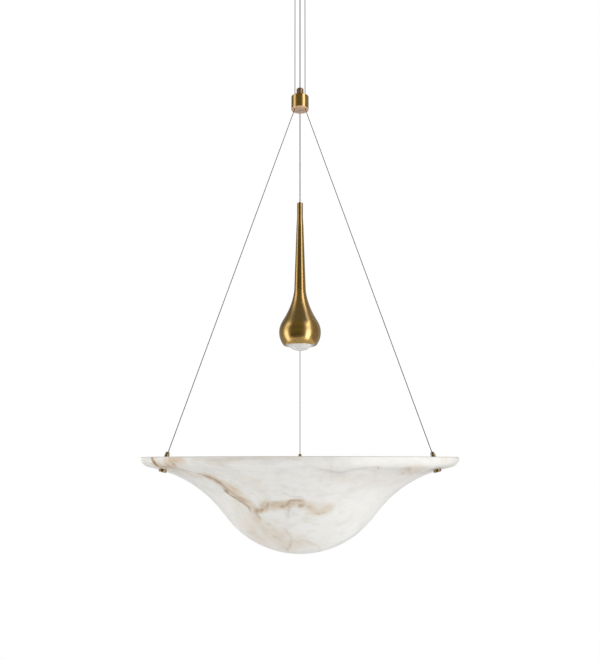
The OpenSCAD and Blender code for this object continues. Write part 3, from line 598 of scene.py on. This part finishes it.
def veinField(outside, normal, lines):
    # for each vertex: signed distance in half widths, distance along the line, strength
    field = np.zeros((len(outside), 3), np.float32)
    field[:, 0] = veinMake["none"]
    rank = np.full(len(outside), farAway)
    leastReach, reachWidths = veinMake["reach"]
    for strength, taper, *points in lines:
        plan, widths = smoothLine(points)
        line = onBowl(plan)
        reach = max(leastReach, reachWidths * widths.max())
        low, high = line.min(0) - reach, line.max(0) + reach
        inside = np.where(np.all((outside > low) & (outside < high), axis=1))[0]
        spots, up = outside[inside], normal[inside]
        lengths = np.linalg.norm(np.diff(line, axis=0), axis=1)
        starts = np.concatenate([[0], np.cumsum(lengths)])
        total = starts[-1]
        near, wide = np.full(len(inside), farAway), np.ones(len(inside))
        signed, along = np.zeros((2, len(inside)))
        for i, size in enumerate(lengths):
            run = (line[i + 1] - line[i]) / size
            rel = spots - line[i]
            t = rel @ run
            held = np.clip(t, 0, size)
            free = np.clip(t, -farAway if i == 0 else 0, farAway if i == len(lengths) - 1 else size)
            gap = np.linalg.norm(rel - held[:, None] * run, axis=1)
            off = rel - free[:, None] * run
            side = np.sign(np.einsum("ij,ij->i", np.cross(run, off), up))
            closer = gap < near
            near[closer] = gap[closer]
            signed[closer] = (side * np.linalg.norm(off, axis=1))[closer]
            along[closer] = (starts[i] + t)[closer]
            wide[closer] = (widths[i] + (widths[i + 1] - widths[i]) * held / size)[closer]
        weight = (strength * ease(along, -taper, taper) * ease(total - along, -taper, taper)
                  * (1 - ease(near, reach * veinMake["fade"], reach)))
        better = near / wide < rank[inside]
        rows = inside[better]
        rank[rows] = (near / wide)[better]
        field[rows] = np.column_stack([signed / wide, along, weight])[better]
    return field


def paintVeins(piece):
    outside, normal = outsidePoints(piece.data)
    for name, lines in veinLines.items():
        field = veinField(outside, normal, lines)
        layer = piece.data.attributes.new(name, "FLOAT_VECTOR", "POINT")
        layer.data.foreach_set("vector", field.ravel())


paintVeins(bowlPiece)
print("veins placed")


# drop: stem, shell and dome; small offsets in the outlines here and below are edge rounds

dropMake = {
    "stemTop": -524.0,
    "seam": -703.0,
    "seamGap": 0.3,
    "stemTopR": 5.9,
    "shoulderR": 7.3,
    "shoulder": (26.0, 58.0),  # below the stem's top
    "seamR": 11.4,
    "spigotR": 5.0,
    "spigotL": 34.0,
    "boreR": 2.0,
    "neckR": 140.0,
    "neckFrom": 7.0,
    "neckTo": 30.0,
    "ballR": 41.0,
    "mouthDepth": 26.0,
    "mouthR": 28.0,
    "land": 6.0,
    "wall": 2.0,
    "cavityTop": 22.0,
    "socketR": 2.95,           # for the ball of the cord's ferrule
    "ferruleZ": -527.6,
    "socketRingR": 2.6,
    "socketMouthR": 2.5,
    "rings": {"neck": 14, "ball": 34, "shoulder": 10, "taper": 8},
    "shellSteps": 160,
    "stemSteps": 120,
}


def dropRun(wall):
    d, rings = dropMake, dropMake["rings"]
    start, end = radians(d["neckFrom"]), radians(d["neckTo"])
    r = d["neckR"] + wall
    centre = d["seamR"] + d["neckR"] * cos(start)
    turns = [start + (end - start) * i / rings["neck"] for i in range(rings["neck"] + 1)]
    neck = [(centre - r * cos(a), d["neckR"] * sin(start) - r * sin(a)) for a in turns]
    neckX = d["seamR"] + d["neckR"] * (cos(start) - cos(end))
    neckZ = -d["neckR"] * (sin(end) - sin(start))
    ballX = d["ballR"] * cos(end)
    ballZ = neckZ - (ballX - neckX) / tan(end) - d["ballR"] * sin(end)
    low = -degrees(asin(d["mouthDepth"] / d["ballR"]))
    return neck + arcPoints(0, ballZ, d["ballR"] - wall, d["neckTo"], low, rings["ball"]), ballZ


def makeShell():
    d = dropMake
    outer, ballZ = dropRun(0)
    inner, ballZ = dropRun(d["wall"])
    plane = ballZ - d["mouthDepth"]
    landZ = plane + d["land"]
    cavity = [p for p in inner if landZ + 1 < p[1] < -d["cavityTop"] - 1]
    lipX = outer[-1][0]
    outline = [(d["spigotR"] + 0.05, 0), (d["seamR"] - 0.25, 0), (outer[0][0] + 0.03, -0.25)] + outer[1:-1]
    outline += [(lipX + 0.12, plane + 0.35), (lipX - 0.2, plane), (d["mouthR"] + 0.4, plane)]
    outline += [(d["mouthR"], plane + 0.4), (d["mouthR"], landZ)] + cavity[::-1]
    outline += [(cavity[0][0] - 0.6, -d["cavityTop"]), (d["spigotR"] + 0.05, -d["cavityTop"])]
    outline = [(r, z + d["seam"]) for r, z in outline]
    turnedPiece("dropShell", "drop_shell", outline, "drop_head", "satin_brass", d["shellSteps"])


def makeStem():
    d, rings = dropMake, dropMake["rings"]
    top = d["stemTop"]
    upper, lower = d["shoulder"]
    shares = [i / rings["shoulder"] for i in range(rings["shoulder"] + 1)]
    shoulder = [(d["stemTopR"] + (d["shoulderR"] - d["stemTopR"]) * t * t * (3 - 2 * t),
                 top - upper - (lower - upper) * t) for t in shares]
    low = d["seam"] + d["seamGap"]
    shares = [i / rings["taper"] for i in range(1, rings["taper"] + 1)]
    taper = [(d["shoulderR"] + (d["seamR"] - d["shoulderR"]) * t,
              top - lower + (low + 0.25 - top + lower) * t) for t in shares]
    socket = [(d[key], d["ferruleZ"] + s * sqrt(d["socketR"] ** 2 - d[key] ** 2))
              for key, s in (("boreR", -1), ("socketRingR", -1), ("socketR", 1), ("socketMouthR", 1))]
    spigotZ = low - d["spigotL"] - d["seamGap"]
    outline = [(d["socketMouthR"], top), (d["stemTopR"] - 0.4, top), (d["stemTopR"], top - 0.4)] + shoulder + taper
    outline += [(d["seamR"] - 0.25, low), (d["spigotR"], low), (d["spigotR"], spigotZ), (d["boreR"], spigotZ)]
    turnedPiece("dropStem", "drop_stem", outline + socket, "stem", "satin_brass", d["stemSteps"])


lensMake = {
    "radius": 32.5,
    "centre": -791.42,
    "cut": -810.72,
    "flangeR": 27.7,
    "flange": 2.0,
    "wall": 2.5,
    "rings": (26, 22),
    "steps": 96,
}


def makeLens():
    l = lensMake
    topR = sqrt(l["radius"] ** 2 - (l["cut"] - l["centre"]) ** 2)
    innerR = l["radius"] - l["wall"]
    outerEnd = -degrees(acos(topR / l["radius"]))
    innerEnd = -degrees(asin((l["centre"] - l["cut"] - l["flange"]) / innerR))
    outline = arcPoints(0, l["centre"], l["radius"], -90, outerEnd, l["rings"][0])
    outline += [(l["flangeR"], l["cut"]), (l["flangeR"], l["cut"] + l["flange"])]
    outline += arcPoints(0, l["centre"], innerR, innerEnd, -90, l["rings"][1])
    outline = [(max(r, 0.0), z) for r, z in outline]
    turnedPiece("lensDome", "lens", outline, "drop_head", "opal_dome", l["steps"], closed=False)


makeShell()
makeStem()
makeLens()
print("drop done")


# rim fittings

def rimSocket(side, place):
    f = fittingMake
    r, low, high, tip = f["socketR"], f["low"], f["high"], f["tipR"]
    ringR, (ringLow, ringHigh) = f["collarR"], f["collar"]
    outline = [(f["socketBore"], low), (r - 0.3, low), (r, low + 0.3), (r, ringLow), (ringR - 0.2, ringLow),
               (ringR, ringLow + 0.2), (ringR, ringHigh - 0.4), (ringR - 0.4, ringHigh), (r, ringHigh),
               (r, f["cone"] - 0.3), (r - 0.12, f["cone"] + 0.2), (tip + 0.1, high - 0.3), (tip - 0.2, high),
               (f["mouthR"] + 0.3, high), (f["mouthR"], high - 0.3), (f["mouthR"], high - f["cap"]),
               (f["socketBore"], high - f["cap"])]
    turnedPiece("rimSocket." + side, "rim_socket_" + side, outline, "bowl", "dark_brass", f["socketSteps"],
                place=place)


def rimNut(side, place):
    f = fittingMake
    low, high = f["nut"]
    r, bore = f["nutR"], f["nutBore"]
    deep = r - f["grooveDepth"]
    groove = [(x, low + rise) for x, rise in zip((r, deep, deep, r), f["groove"])]
    outline = [(bore + 0.35, low), (r - 0.5, low), (r, low + 0.45)] + groove
    outline += [(r, high - 0.4), (r - 0.4, high), (bore + 0.3, high), (bore, high - 0.3), (bore, low + 0.35)]
    node = body = "rim_nut_" + side
    turnedPiece("rimNut." + side, node, outline, body, "dark_brass", f["nutSteps"], place=place,
                sharp=f["nutSharp"])


for side, azimuth in sides.items():
    rimSocket(side, anchorPlace(azimuth))
    rimNut(side, anchorPlace(azimuth))
print("rim fittings done")


# materials

def newMaterial(name):
    material = bpy.data.materials.new(name)
    material.use_nodes = True
    tree = material.node_tree
    coords = tree.nodes.new("ShaderNodeTexCoord").outputs["Object"]
    return material, tree, tree.nodes["Principled BSDF"], coords


def setInputs(node, values):
    for key, value in values.items():
        node.inputs[key].default_value = value


def mathNode(tree, kind, a, b=None, c=None):
    node = tree.nodes.new("ShaderNodeMath")
    node.operation = kind
    for socket, value in zip(node.inputs, (a, b, c)):
        if value is None:
            continue
        if isinstance(value, (int, float)):
            socket.default_value = value
        else:
            tree.links.new(value, socket)
    return node.outputs[0]


def splitVector(tree, vector):
    parts = tree.nodes.new("ShaderNodeSeparateXYZ")
    tree.links.new(vector, parts.inputs[0])
    return parts.outputs


def noiseNode(tree, coords, scale, detail=3.0, distortion=0.0, stretch=None, turn=None):
    vector = coords
    if stretch is not None or turn is not None:
        mapping = tree.nodes.new("ShaderNodeMapping")
        setInputs(mapping, {"Scale": stretch or (1, 1, 1), "Rotation": turn or (0, 0, 0)})
        tree.links.new(coords, mapping.inputs["Vector"])
        vector = mapping.outputs["Vector"]
    noise = tree.nodes.new("ShaderNodeTexNoise")
    setInputs(noise, {"Scale": scale, "Detail": detail, "Distortion": distortion})
    tree.links.new(vector, noise.inputs["Vector"])
    return noise.outputs["Fac"]


def rangeNode(tree, value, low, high, toLow=0.0, toHigh=1.0, smooth=False):
    node = tree.nodes.new("ShaderNodeMapRange")
    node.interpolation_type = "SMOOTHSTEP" if smooth else "LINEAR"
    setInputs(node, {"From Min": low, "From Max": high, "To Min": toLow, "To Max": toHigh})
    tree.links.new(value, node.inputs["Value"])
    return node.outputs["Result"]


def mixColour(tree, factor, first, second):
    node = tree.nodes.new("ShaderNodeMix")
    node.data_type = "RGBA"
    for socket, value in zip((s for s in node.inputs if s.enabled), (factor, first, second)):
        if isinstance(value, tuple):
            socket.default_value = (*value, 1)
        else:
            tree.links.new(value, socket)
    return next(s for s in node.outputs if s.enabled)


acrylicLook = {
    "white": (0.872, 0.864, 0.836),
    "warm": (0.8, 0.765, 0.7),
    "grey": (0.745, 0.74, 0.72),
    # faint clouds and streaks all over: tone, most cover, range of the noise, then its scale, detail,
    # distortion, stretch and turn
    "mottling": (
        ("warm", 0.6, (0.42, 0.72), (7, 5, 0.8)),
        ("grey", 0.55, (0.5, 0.74), (26, 6, 1.2, (1, 1, 1.6), (0.3, 0.2, 0.5))),
        ("warm", 0.6, (0.5, 0.74), (40, 6, 1.2, (1, 1, 1.6), (1.1, 0.4, 0.2))),
    ),
    # grey wisps where one noise is near its middle, only in the patches of another
    "wisps": {"noise": (9, 6, 1.6, (1, 1, 2.2), (0.3, 0.2, 0.5)), "reach": 0.03, "most": 0.35},
    "patches": {"noise": (4, 2, 0, None, (0.9, 0.4, 0.1)), "range": (0.45, 0.65)},
    # colour; half widths at which it is full and gone; warp: share of the half width, and noise scale;
    # grain: least and most strength, and noise scale
    "veins": {
        "veinTan": ((0.65, 0.51, 0.355), (0, 1.5), (0.6, 24), (0.45, 1, 60)),
        # grey veins, and the painted crease shade below the flange
        "veinGreyAndCreaseShade": ((0.56, 0.56, 0.53), (0, 1.5), (0.8, 18), (0.3, 1, 45)),
        "veinBand": ((0.6, 0.445, 0.28), (0.2, 1.4), (0.45, 60), (0.6, 1, 75)),
        "veinFine": ((0.34, 0.2, 0.09), (0, 1.8), (0.5, 60), (0.4, 1, 90)),
        "veinDark": ((0.29, 0.16, 0.06), (0, 1.8), (0.5, 60), (0.5, 1, 90)),
        "veinCore": ((0.36, 0.21, 0.09), (0, 1.6), (0.7, 70), (0.4, 1, 90)),
    },
    "warp": {"detail": (4, 0.3), "range": (0.25, 0.75)},
    "grain": {"detail": (4, 0.5), "range": (0.35, 0.65)},
    # painted shade: a thin grey line along the rim's upper edge, in metres
    "rimEdgeShade": {"tone": (0.52, 0.51, 0.48), "most": 0.6, "height": (-1.0318, -1.0308), "radius": (0.298, 0.299)},
    "rough": {"noise": (60, 3), "range": (0.3, 0.7, 0.3, 0.4)},
    "inputs": {
        "Subsurface Weight": 0.35,
        "Subsurface Radius": (0.004, 0.0035, 0.003),
        "Subsurface Scale": 0.6,
        "Specular IOR Level": 0.12,
    },
}


finishes = {}


def veinedAcrylic(slotName):
    look = acrylicLook
    material, tree, shader, coords = newMaterial(slotName)
    colour = look["white"]
    for tone, most, (low, high), noise in look["mottling"]:
        cloud = noiseNode(tree, coords, *noise)
        colour = mixColour(tree, rangeNode(tree, cloud, low, high, 0, most, True), colour, look[tone])
    wisps, patches = look["wisps"], look["patches"]
    ridge = mathNode(tree, "ABSOLUTE", mathNode(tree, "SUBTRACT", noiseNode(tree, coords, *wisps["noise"]), 0.5))
    ridge = mathNode(tree, "MULTIPLY", rangeNode(tree, ridge, wisps["reach"], 0, 0, wisps["most"], True),
                     rangeNode(tree, noiseNode(tree, coords, *patches["noise"]), *patches["range"], smooth=True))
    colour = mixColour(tree, ridge, colour, look["grey"])
    for name, (tone, (full, gone), (amount, warpScale), (least, most, grainScale)) in look["veins"].items():
        field = tree.nodes.new("ShaderNodeAttribute")
        field.attribute_name = name
        parts = splitVector(tree, field.outputs["Vector"])
        warp = noiseNode(tree, coords, warpScale, *look["warp"]["detail"])
        shift = rangeNode(tree, warp, *look["warp"]["range"], -amount, amount)
        away = mathNode(tree, "ABSOLUTE", mathNode(tree, "ADD", parts["X"], shift))
        mask = mathNode(tree, "MULTIPLY", rangeNode(tree, away, gone, full, smooth=True), parts["Z"])
        grain = noiseNode(tree, coords, grainScale, *look["grain"]["detail"])
        mask = mathNode(tree, "MULTIPLY", mask, rangeNode(tree, grain, *look["grain"]["range"], least, most))
        colour = mixColour(tree, mask, colour, tone)
    # painted shade along the rim's upper edge, mixed in by height and by distance from the axis
    place, rim = splitVector(tree, coords), look["rimEdgeShade"]
    squares = [mathNode(tree, "POWER", place[axis], 2.0) for axis in "XY"]
    away = mathNode(tree, "SQRT", mathNode(tree, "ADD", *squares))
    line = mathNode(tree, "MULTIPLY", rangeNode(tree, place["Z"], *rim["height"], 0, rim["most"]),
                    rangeNode(tree, away, *rim["radius"]))
    tree.links.new(mixColour(tree, line, colour, rim["tone"]), shader.inputs["Base Color"])
    rough = rangeNode(tree, noiseNode(tree, coords, *look["rough"]["noise"]), *look["rough"]["range"])
    tree.links.new(rough, shader.inputs["Roughness"])
    setInputs(shader, look["inputs"])
    finishes[slotName] = material


metalLook = {
    "across": 6.0,           # noise scale across the brushed lines
    "slowDetail": (3.0, 0.4),
    "shares": (0.6, 0.4),    # of the lines and of the slow changes in the tone
    "toneRange": (0.35, 0.65),
    "roughRange": (0.3, 0.7),
    "uneven": 0.01,          # roughness
    "coatShare": 0.8,        # the coat's roughness as a share of the metal's
}


def brushedMetal(slotName, tone, rough, lines=2600.0, patch=22.0, coat=0.0, metal=1.0, shift=0.035, polish=0.0):
    # fine lines round the axis, with slow changes of tone between them; the drop's stem is smoother by polish
    look = metalLook
    material, tree, shader, coords = newMaterial(slotName)
    turned = noiseNode(tree, coords, 1.0, 1.0, 0.0, (look["across"], look["across"], lines))
    slow = noiseNode(tree, coords, patch, *look["slowDetail"])
    dark = tuple(c * (1 - shift) for c in tone)
    light = tuple(min(1.0, c * (1 + shift)) for c in tone)
    blend = mathNode(tree, "ADD", *(mathNode(tree, "MULTIPLY", noise, share)
                                    for noise, share in zip((turned, slow), look["shares"])))
    tree.links.new(mixColour(tree, rangeNode(tree, blend, *look["toneRange"]), dark, light),
                   shader.inputs["Base Color"])
    roughness = rangeNode(tree, turned, *look["roughRange"], rough - look["uneven"], rough + look["uneven"])
    if polish > 0:
        top, low = dropMake["stemTop"] * mm, dropMake["seam"] * mm
        onStem = mathNode(tree, "COMPARE", splitVector(tree, coords)["Z"], (top + low) / 2, (top - low) / 2)
        roughness = mathNode(tree, "SUBTRACT", roughness, mathNode(tree, "MULTIPLY", onStem, polish))
    tree.links.new(roughness, shader.inputs["Roughness"])
    setInputs(shader, {"Metallic": metal, "Coat Weight": coat, "Coat Roughness": rough * look["coatShare"]})
    finishes[slotName] = material


plasticLook = {
    "slowScale": 30.0,
    "detail": 2.0,
    "range": (0.3, 0.7),
    "uneven": 0.05,          # roughness
    "glowReach": 0.006,      # how far light spreads inside, in metres
    "bump": {"Strength": 0.15, "Distance": 0.00005},
}


def plainPlastic(slotName, tone, rough, grainScale, shift, coat=0.0, subsurface=0.0):
    look = plasticLook
    material, tree, shader, coords = newMaterial(slotName)
    grain = noiseNode(tree, coords, grainScale, look["detail"])
    slow = noiseNode(tree, coords, look["slowScale"], look["detail"])
    dark = tuple(max(0.0, c - shift) for c in tone)
    tree.links.new(mixColour(tree, rangeNode(tree, slow, *look["range"]), dark, tone), shader.inputs["Base Color"])
    roughness = rangeNode(tree, grain, *look["range"], rough - look["uneven"], rough + look["uneven"])
    tree.links.new(roughness, shader.inputs["Roughness"])
    shader.inputs["Coat Weight"].default_value = coat
    if subsurface > 0:
        setInputs(shader, {"Subsurface Weight": subsurface, "Subsurface Radius": (look["glowReach"],) * 3,
                           "Subsurface Scale": 1.0})
    bump = tree.nodes.new("ShaderNodeBump")
    setInputs(bump, look["bump"])
    tree.links.new(grain, bump.inputs["Height"])
    tree.links.new(bump.outputs["Normal"], shader.inputs["Normal"])
    finishes[slotName] = material


veinedAcrylic("veined_acrylic")
brushedMetal("satin_brass", (0.6, 0.38, 0.105), 0.26, coat=1, shift=0.012, polish=0.08)
brushedMetal("pale_brass", (0.69, 0.46, 0.29), 0.5, metal=0.4)
brushedMetal("brown_bronze", (0.4, 0.26, 0.155), 0.45)
brushedMetal("dark_brass", (0.36, 0.26, 0.11), 0.08, coat=1)
brushedMetal("steel_cable", (0.1, 0.091, 0.074), 0.55, 900, metal=0.8)
brushedMetal("spring_steel", (0.55, 0.55, 0.56), 0.25)
brushedMetal("zinc", (0.62, 0.63, 0.65), 0.42, 260, patch=60, shift=0.08)
plainPlastic("cord_sleeve", (0.37, 0.37, 0.395), 0.5, 40, 0.01, coat=0.1)
plainPlastic("wire_sleeve", (0.3, 0.16, 0.09), 0.45, 1500, 0.03)
plainPlastic("white_case", (0.8, 0.8, 0.79), 0.45, 1100, 0.03)
plainPlastic("terminal_plastic", (0.74, 0.7, 0.6), 0.4, 1300, 0.03)
plainPlastic("clear_washer", (0.78, 0.75, 0.68), 0.2, 1500, 0.03, coat=0.5)
brushedMetal("aluminium", (0.7, 0.71, 0.72), 0.36)
plainPlastic("led_board", (0.8, 0.72, 0.3), 0.5, 1600, 0.04)
brushedMetal("reflector", (0.82, 0.82, 0.83), 0.12)
plainPlastic("opal_dome", (1, 1, 0.98), 0.28, 1500, 0.01, coat=0.3, subsurface=0.5)


def dressPiece(piece, slotName):
    piece.data.materials.clear()
    piece.data.materials.append(finishes[slotName])


for part in frame["record"]["subparts"]:
    dressPiece(frame["nodes"][part["node"]], part["material_slot"])
for piece in bpy.data.objects:
    if piece.get("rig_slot"):
        dressPiece(piece, piece["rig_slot"])
print("materials done")


# studio: floor, lamps, cards that only reflections see, and the white world

whiteTint = (1, 1, 1)
studio = {
    "floor": {"height": -2.5, "half": 3.4, "tone": 0.8, "rough": 0.9, "glow": 0.35},
    "ambient": 0.5,
    "lampCentre": (0, 0, -0.8),
    "lamps": {
        "leftBox": {"place": (-1.93, 0.2, -0.7), "size": (0.9, 3), "level": 2.9, "tint": (1, 0.985, 0.95)},
        "rightBox": {"place": (1.86, -0.75, -0.9), "size": (1.5, 3.2), "level": 1.53},
        "frontBox": {"place": (0, -1.9, -0.9), "size": (1.6, 1.4), "level": 0.6, "tint": (1, 0.995, 0.975)},
        "topBox": {"place": (0.2, -0.6, 1.5), "size": (2.4, 2), "level": 0.2},
        "lowBox": {"place": (0.5, -1.5, -2.2), "size": (2, 1.2), "level": 0.8},
    },
    # distance, width, tint, then rows of height, azimuth from the front and level
    "cards": {
        "leftStrip": {"away": 1.97, "width": 0.75, "tint": (1, 0.97, 1.06), "rows": (
            (-2.45, -81, 2.2), (-0.9, -81, 2.5), (-0.3, -80, 1.3), (0, -77, 1.05), (0.62, -71, 1.85),
            (1.1, -76, 0.5), (3, -84, 0.2))},
        "rightStrip": {"away": 2.01, "width": 0.8, "tint": (1, 1, 1.2), "rows": (
            (-2.45, 48, 3), (-1.5, 48, 4.1), (-0.9, 48, 3.4), (-0.3, 50, 1.8), (0, 51, 1.75), (0.62, 53, 3.1),
            (1.2, 66, 2), (1.8, 76, 1.7), (3, 84, 1.3))},
        "frontCard": {"away": 2.2, "width": 5.1, "tint": (1, 0.88, 0.48), "rows": (
            (-2.45, -16.5, 0.12), (-1.9, -16.5, 0.07), (-1.3, -16.5, 0.08), (-0.8, -16.5, 0.16),
            (-0.4, -16.5, 0.17), (0, -16.5, 0.13), (0.15, -16.5, 0.1), (0.7, -16.5, 0.18), (3, -16.5, 0.17))},
        "rightCard": {"away": 2.6, "width": 3.2, "tint": (1, 0.92, 0.75), "rows": (
            (-2.45, 93, 0.27), (3, 93, 0.23))},
        "backCard": {"away": 2.6, "width": 5.4, "tint": whiteTint, "rows": ((-2.45, 172, 0.34), (3, 172, 0.29))},
        "leftCard": {"away": 2.6, "width": 2.2, "tint": (1, 0.92, 0.75), "rows": (
            (-2.45, -120, 0.32), (-0.4, -120, 0.28), (0, -120, 0.2), (3, -120, 0.16))},
    },
    "roof": {"height": 3, "half": 2.7, "level": 0.15},
}


def softBox(name, lamp):
    data = bpy.data.lights.new(name, "AREA")
    data.shape = "RECTANGLE"
    data.size, data.size_y = lamp["size"]
    data.color = lamp.get("tint", whiteTint)
    data.energy = lamp["level"] * pi * data.size * data.size_y
    light = newObject(name, data)
    light.location = lamp["place"]
    light.rotation_euler = (Vector(studio["lampCentre"]) - light.location).to_track_quat("-Z", "Y").to_euler()
    light.visible_camera = light.visible_glossy = False


def stageMesh(name, bm, material):
    obj = meshObject(name, bm)
    obj.data.materials.append(material)
    return obj


def glowMaterial(name, rows, tint):
    # a glow that changes with the height
    material, tree, shader, coords = newMaterial(name)
    tree.nodes.remove(shader)
    glow = tree.nodes.new("ShaderNodeEmission")
    tree.links.new(glow.outputs[0], tree.nodes["Material Output"].inputs["Surface"])
    glow.inputs["Color"].default_value = (*tint, 1)
    low, high = rows[0][0], rows[-1][0]
    most = max(row[2] for row in rows)
    ramp = tree.nodes.new("ShaderNodeValToRGB")
    tree.links.new(rangeNode(tree, splitVector(tree, coords)["Z"], low, high), ramp.inputs["Fac"])
    stops = ramp.color_ramp.elements
    while len(stops) < len(rows):
        stops.new(1.0)
    for stop, row in zip(stops, rows):
        share = row[2] / most
        stop.position = (row[0] - low) / (high - low)
        stop.color = (share, share, share, 1)
    tree.links.new(mathNode(tree, "MULTIPLY", ramp.outputs["Color"], most), glow.inputs["Strength"])
    return material


def reflectionCard(name, bm, material):
    obj = stageMesh(name, bm, material)
    obj.visible_camera = obj.visible_diffuse = obj.visible_shadow = False
    obj.visible_transmission = obj.visible_volume_scatter = False


def flatGrid(half, height, rows=1):
    bm = bmesh.new()
    bmesh.ops.create_grid(bm, x_segments=1, y_segments=rows, size=half, matrix=Matrix.Translation((0, 0, height)))
    return bm


def standingCard(name, card):
    # a grid with one row of vertices at each height, turned to its azimuth
    rows = card["rows"]
    bm = flatGrid(0.5, 0, len(rows) - 1)
    for vert in bm.verts:
        row = rows[round((vert.co.y + 0.5) * (len(rows) - 1))]
        flat = Vector((vert.co.x * card["width"], -card["away"], row[0]))
        vert.co = Matrix.Rotation(radians(row[1]), 4, "Z") @ flat
    reflectionCard(name, bm, glowMaterial(name, rows, card["tint"]))


def roofCard():
    roof = studio["roof"]
    rows = [(height, 0, roof["level"]) for height in (0, 1)]
    reflectionCard("roofCard", flatGrid(roof["half"], roof["height"]), glowMaterial("roofCard", rows, whiteTint))


def rayMask(tree, kinds):
    # 1 for these kinds of ray, 0 for the others
    path = tree.nodes.new("ShaderNodeLightPath").outputs
    mask = path[kinds[0]]
    for kind in kinds[1:]:
        mask = mathNode(tree, "MAXIMUM", mask, path[kind])
    return mask


def makeFloor():
    floor = studio["floor"]
    material = bpy.data.materials.new("paleFloor")
    material.use_nodes = True
    tree = material.node_tree
    shader = tree.nodes["Principled BSDF"]
    setInputs(shader, {"Base Color": (floor["tone"],) * 3 + (1,), "Roughness": floor["rough"],
                       "Emission Color": (*whiteTint, 1)})
    seen = rayMask(tree, ("Is Camera Ray", "Is Glossy Ray"))
    tree.links.new(mathNode(tree, "MULTIPLY", seen, floor["glow"]), shader.inputs["Emission Strength"])
    stageMesh("floor", flatGrid(floor["half"], floor["height"]), material)


def makeWorld():
    world = bpy.data.worlds.new("studioWorld")
    bpy.context.scene.world = world
    world.use_nodes = True
    tree = world.node_tree
    background = tree.nodes["Background"]
    background.inputs["Color"].default_value = (*whiteTint, 1)
    seen = rayMask(tree, ("Is Camera Ray", "Is Glossy Ray", "Is Transmission Ray"))
    tree.links.new(rangeNode(tree, seen, 0, 1, studio["ambient"], 1.0), background.inputs["Strength"])


for name, lamp in studio["lamps"].items():
    softBox(name, lamp)
for name, card in studio["cards"].items():
    standingCard(name, card)
roofCard()
makeFloor()
makeWorld()
bpy.context.scene.view_settings.view_transform = "Standard"
print("studio done")
